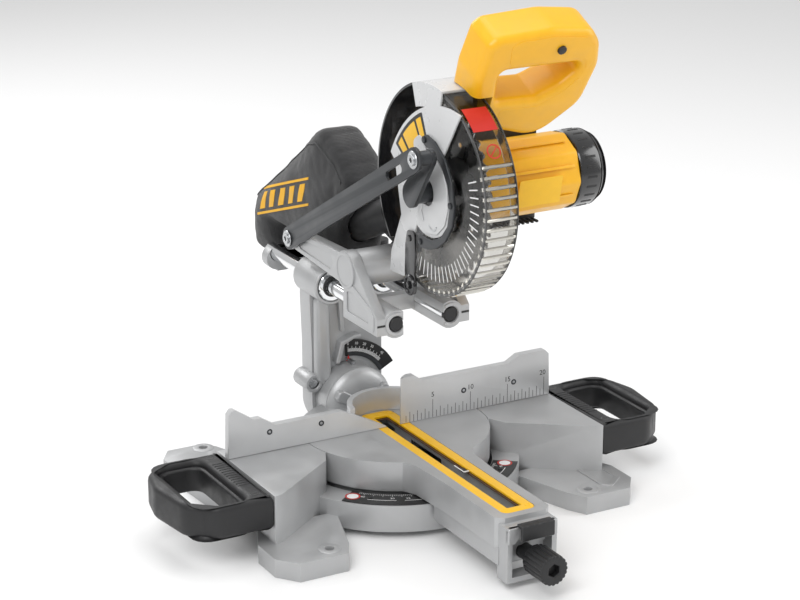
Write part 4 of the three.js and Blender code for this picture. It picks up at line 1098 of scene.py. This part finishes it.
def make_column():
    refine("bevel_column", 3.2)
    flank = [curved([(28, -45), (124, -45), (138, -36), (138, -27), (70, -26), (30, -24), (14, -30)], 10)]
    show(plate(flank, 103.5, 117, 6.0, "Y"), "column_flank", "bevel_column", "grey_casting")
    lip = [curved([(44, -20), (70, -13), (76, 4), (76, 14), (71, 13), (71, 4), (66, -8), (44, -14)], 2.5)]
    show(plate(lip, 104, 117, 1.6, "Y"), "scale_pocket_edge", "bevel_column", "grey_casting")
    ribs = [[(80, -10), (126, -14), (126, -9), (80, -5)], [(80, 30), (126, 34), (126, 39), (80, 35)]]
    show([plate([curved(rib, 2)], 110, 117, 1.5, "Y") for rib in ribs], "column_ribs", "bevel_column",
         "grey_casting")
    make_bearing("left", -1)
    make_bearing("right", 1)
    boss = [(108, 6.5), (106.5, 7.4), (106.5, 10.2), (108.5, 11.4), (117, 11.6), (117, 6.5)]
    show(turned(boss, "Y", 24, -47, 40), "stop_screw_boss", "bevel_column", "grey_casting")
    make_bevel_scale()


def make_bearing(name, side):
    """The cast rim, the bush, and a black ring painted as the shade at the bush's bore, where a rail enters
    the column.
    """
    spot = ("Y", RAIL_Z, RAIL_X * side)
    rim = [(84.6, 18.6), (84.0, 19.4), (84.0, 21.2), (85.5, 22.3), (90, 22.3), (90, 18.6)]
    show(turned(rim, *spot, 56), name + "_bearing_rim", "bevel_column", "grey_casting")
    bush = [(83.2, 9.4), (83.0, 10.2), (83.0, 16.6), (83.8, 17.6), (108, 17.9), (108, 9.4)]
    show(turned(bush, *spot, 56), name + "_bearing_bush", "bevel_column", "chrome",
         (name + "_front_bush",))
    # A black ring at the edge of the bush's bore: painted shade where the rail enters the hole.
    bore_shade = [(82.5, 9.5), (82.3, 10), (82.3, 12.2), (83.4, 12.6)]
    show(turned(bore_shade, *spot, 48), name + "_bore_shade_ring", "bevel_column", "print_black")


def make_bevel_scale():
    refine("bevel_scale", 0.4)
    marks = [block(-0.25, 0.25, -0.12, 0.1, 53.5, 57.5 if d % 5 else 60, 0, bevel_turn(d, 112))
             for d in range(0, 49)]
    for number in (0, 10, 20, 30, 45):
        spot = bevel_turn(number, 111.9) @ Matrix.Translation((0, 0, 63.3 * MM))
        marks.append(lettering(str(number), 4.6, spot @ Matrix.Rotation(math.pi / 2, 4, "X")))
    show(marks, "bevel_scale_marks", "bevel_column", "print_white")
    band = plate([arc_band(48.3, 52.6, 0, 60, 0, 0, 30)], 111.8, 112.1, 0, "Y")
    show(band, "bevel_scale_band", "bevel_column", "dark_steel")


def make_bevel_hub():
    profile = [(88.5, 41.5), (86, 41.8), (82, 39.5), (78.5, 34), (76, 26), (75, 16), (74.6, 0)]
    dome = turned(profile, "Y", 0, 0, 72)
    outline = [curved([(6, -5), (34, -7.5), (38, -4), (38, 4), (34, 7.5), (6, 5)], 4)]
    ridges = [plate(outline, 71.8, 84, 2.2, "Y", bevel_turn(degrees, 0)) for degrees in (-62, 62, 178)]
    ridges.append(turned([(71.5, 0), (71.5, 9), (73, 11), (80, 12)], "Y", 0, 0, 40))
    show([dome] + ridges, "bevel_hub_dome", "turntable", "grey_casting")
    arrow = plate([[(43, -2.6), (49.5, 0), (43, 2.6)]], 110.6, 111.6, 0, "Y")
    show(arrow, "bevel_arrow", "turntable", "print_red")


# ---- carriage and link --------------------------------------------------------------
def strap_outline(y0, z0, r0, y1, z1, r1, steps=14):
    along = math.atan2(z1 - z0, y1 - y0)
    spread = math.acos((r0 - r1) / math.hypot(y1 - y0, z1 - z0))
    first = [along + spread + (2 * math.pi - 2 * spread) * k / steps for k in range(steps + 1)]
    second = [along - spread + 2 * spread * k / steps for k in range(steps + 1)]
    return ([(y0 + r0 * math.cos(t), z0 + r0 * math.sin(t)) for t in first]
            + [(y1 + r1 * math.cos(t), z1 + r1 * math.sin(t)) for t in second])


def make_carriage():
    refine("carriage", 2.0)
    horn = plate([strap_outline(6, 193, 17.5, 137, 195, 10.5), strap_outline(44, 193.6, 9, 112, 194.6, 6.5)],
                 -59.3, -57.5, 0.7, "X")
    ring_profile = [(-57.8, 16.8), (-59.6, 16.8), (-60, 17.5), (-60, 20), (-59.4, 21), (-57.5, 21)]
    ring = turned(ring_profile, "X", 6, 193, 56)
    collar = turned([(-54.5, 8), (-56.5, 8.4), (-56.5, 11.5), (-55.5, 12.2), (-54, 12.4)], "X", 6, 193, 40)
    cheek = [curved([(-60, 140), (10, 140), (10, 172), (-12, 180), (-52, 166), (-60, 156)], 4),
             curved([(-50, 147), (2, 147), (2, 170), (-12, 172), (-46, 160)], 4)]
    show([horn, ring, collar, plate(cheek, -59.2, -57.5, 0.7, "X")], "carriage_rims", "carriage",
         "grey_casting")
    make_rail_end("left", -1, 141)
    make_rail_end("right", 1, -38)


def make_rail_end(name, side, start):
    """The plug in a rail's end, and the clamp's rim, open on its outer side where the clamp is split; a black
    block in the split is painted shade.
    """
    plug = [(-67, 0), (-67, 7.4), (-66.2, 8.2), (-61.4, 8.8), (-61.4, 0)]
    show(turned(plug, "Y", RAIL_Z, RAIL_X * side, 40), name + "_rail_end", "carriage", "black_plastic",
         (name + "_rail_plug",))
    rim = plate([arc_band(9.8, 13.6, start, start + 257, RAIL_Z, RAIL_X * side)], -67.2, -65, 0.7, "Y")
    show(rim, name + "_clamp_rim", "carriage", "grey_casting")
    # A black block filling the clamp's split: painted shade in the gap.
    split = block(*sorted((47.8 * side, 57.6 * side)), -66.4, -60, 147, 149.4, 0.2)
    show(split, name + "_clamp_split_shade", "carriage", "print_black")


def link_bolt(y, z, name, body, node):
    washer = turned([(-63.9, 5), (-63.9, 9.2), (-64.6, 9.6), (-65.1, 9.2), (-65.1, 0)], "X", y, z, 36)
    head = plate([circle(6.2, y, z, 36), circle(3.1, y, z, 6)], -67.4, -64.8, 0.7, "X")
    show([washer, head], name, body, "bright_steel", (node,))
    # A black disc at the bottom of the hex socket: painted shade in the recess.
    socket = turned([(-66, 0), (-66, 4), (-65, 4.2), (-65, 0)], "X", y, z, 20)
    show(socket, name + "_socket", body, "print_black")


def make_link():
    refine("guard_link", 0.8)
    refine("guard_lever", 1.0)
    link_bolt(*polar(64, 129, *ARBOR_YZ), "front_link_screw", "guard_link", "link_front_bolt")
    link_bolt(137, 195, "rear_link_screw", "carriage", "link_rear_bolt")


# ---- small castings -----------------------------------------------------------------
def make_feet():
    boss = [(-55.6, 5.2), (-54.2, 5.4), (-54.0, 7), (-54.0, 11), (-54.6, 12.5), (-55.6, 13)]
    washers = [turned(boss, "Z", x, y, 36) for x in (-163, 163) for y in (-153, 168)]
    show(washers, "foot_bosses", "base", "grey_casting")
    pads = [plate([curved([(188, -90), (214, -112), (214, -142), (192, -160), (182, -150), (182, -100)], 6),
                   curved([(192, -98), (209, -115), (209, -138), (193, -151), (188, -144), (188, -104)], 4)],
                  -55.4, -53.8, 0.6)]
    show(pads, "foot_rims", "base", "grey_casting")


def make_arm_end():
    arch = [curved([(-6, -30), (-6, 30), (-24, 30), (-24, 21), (-15, 14), (-12, 0), (-15, -14), (-24, -21),
                    (-24, -30)], 2.5)]
    show(plate(arch, -296.5, -290, 1.2, "Y"), "arm_end_arch", "turntable", "grey_casting")
    refine("miter_latch", 1.2)


# ---- the rest keeps the frame's own solids, with rounded edges ----------------------
EDGE_ROUNDS = {
    "base_casting": 1.6, "turntable": 1.6, "rear_rail_bracket": 1.2, "head_arm": 1.6,
    "bevel_clamp_lever": 1.2, "rail_lock_knob": 1.0, "trigger": 1.6, "lock_off_button": 0.6,
    "dust_port": 0.8, "bevel_pivot_bolt": 0.8, "turntable_pivot_bolt": 0.8, "bevel_stop_screw": 0.6,
    "head_pivot_pin": 0.6, "lock_down_pin": 0.8, "left_rail": 0.8, "right_rail": 0.8,
    "motor_shaft": 0.5, "head_return_spring": 0.5,
}


def finish_the_rest():
    for node, width in EDGE_ROUNDS.items():
        refine(node, width)
    for node, obj in NODES.items():
        obj.data.materials.clear()
        obj.data.materials.append(FINISHES[SLOT_OF[node]])


make_fences()
make_table()
make_lock_knob()
make_side_handle("left_side_handle", -1)
make_side_handle("right_side_handle", 1)
make_handle()
make_lower_guard()
make_blade()
make_upper_guard()
make_motor()
make_bag()
make_column()
make_bevel_hub()
make_carriage()
make_link()
make_feet()
make_arm_end()
finish_the_rest()
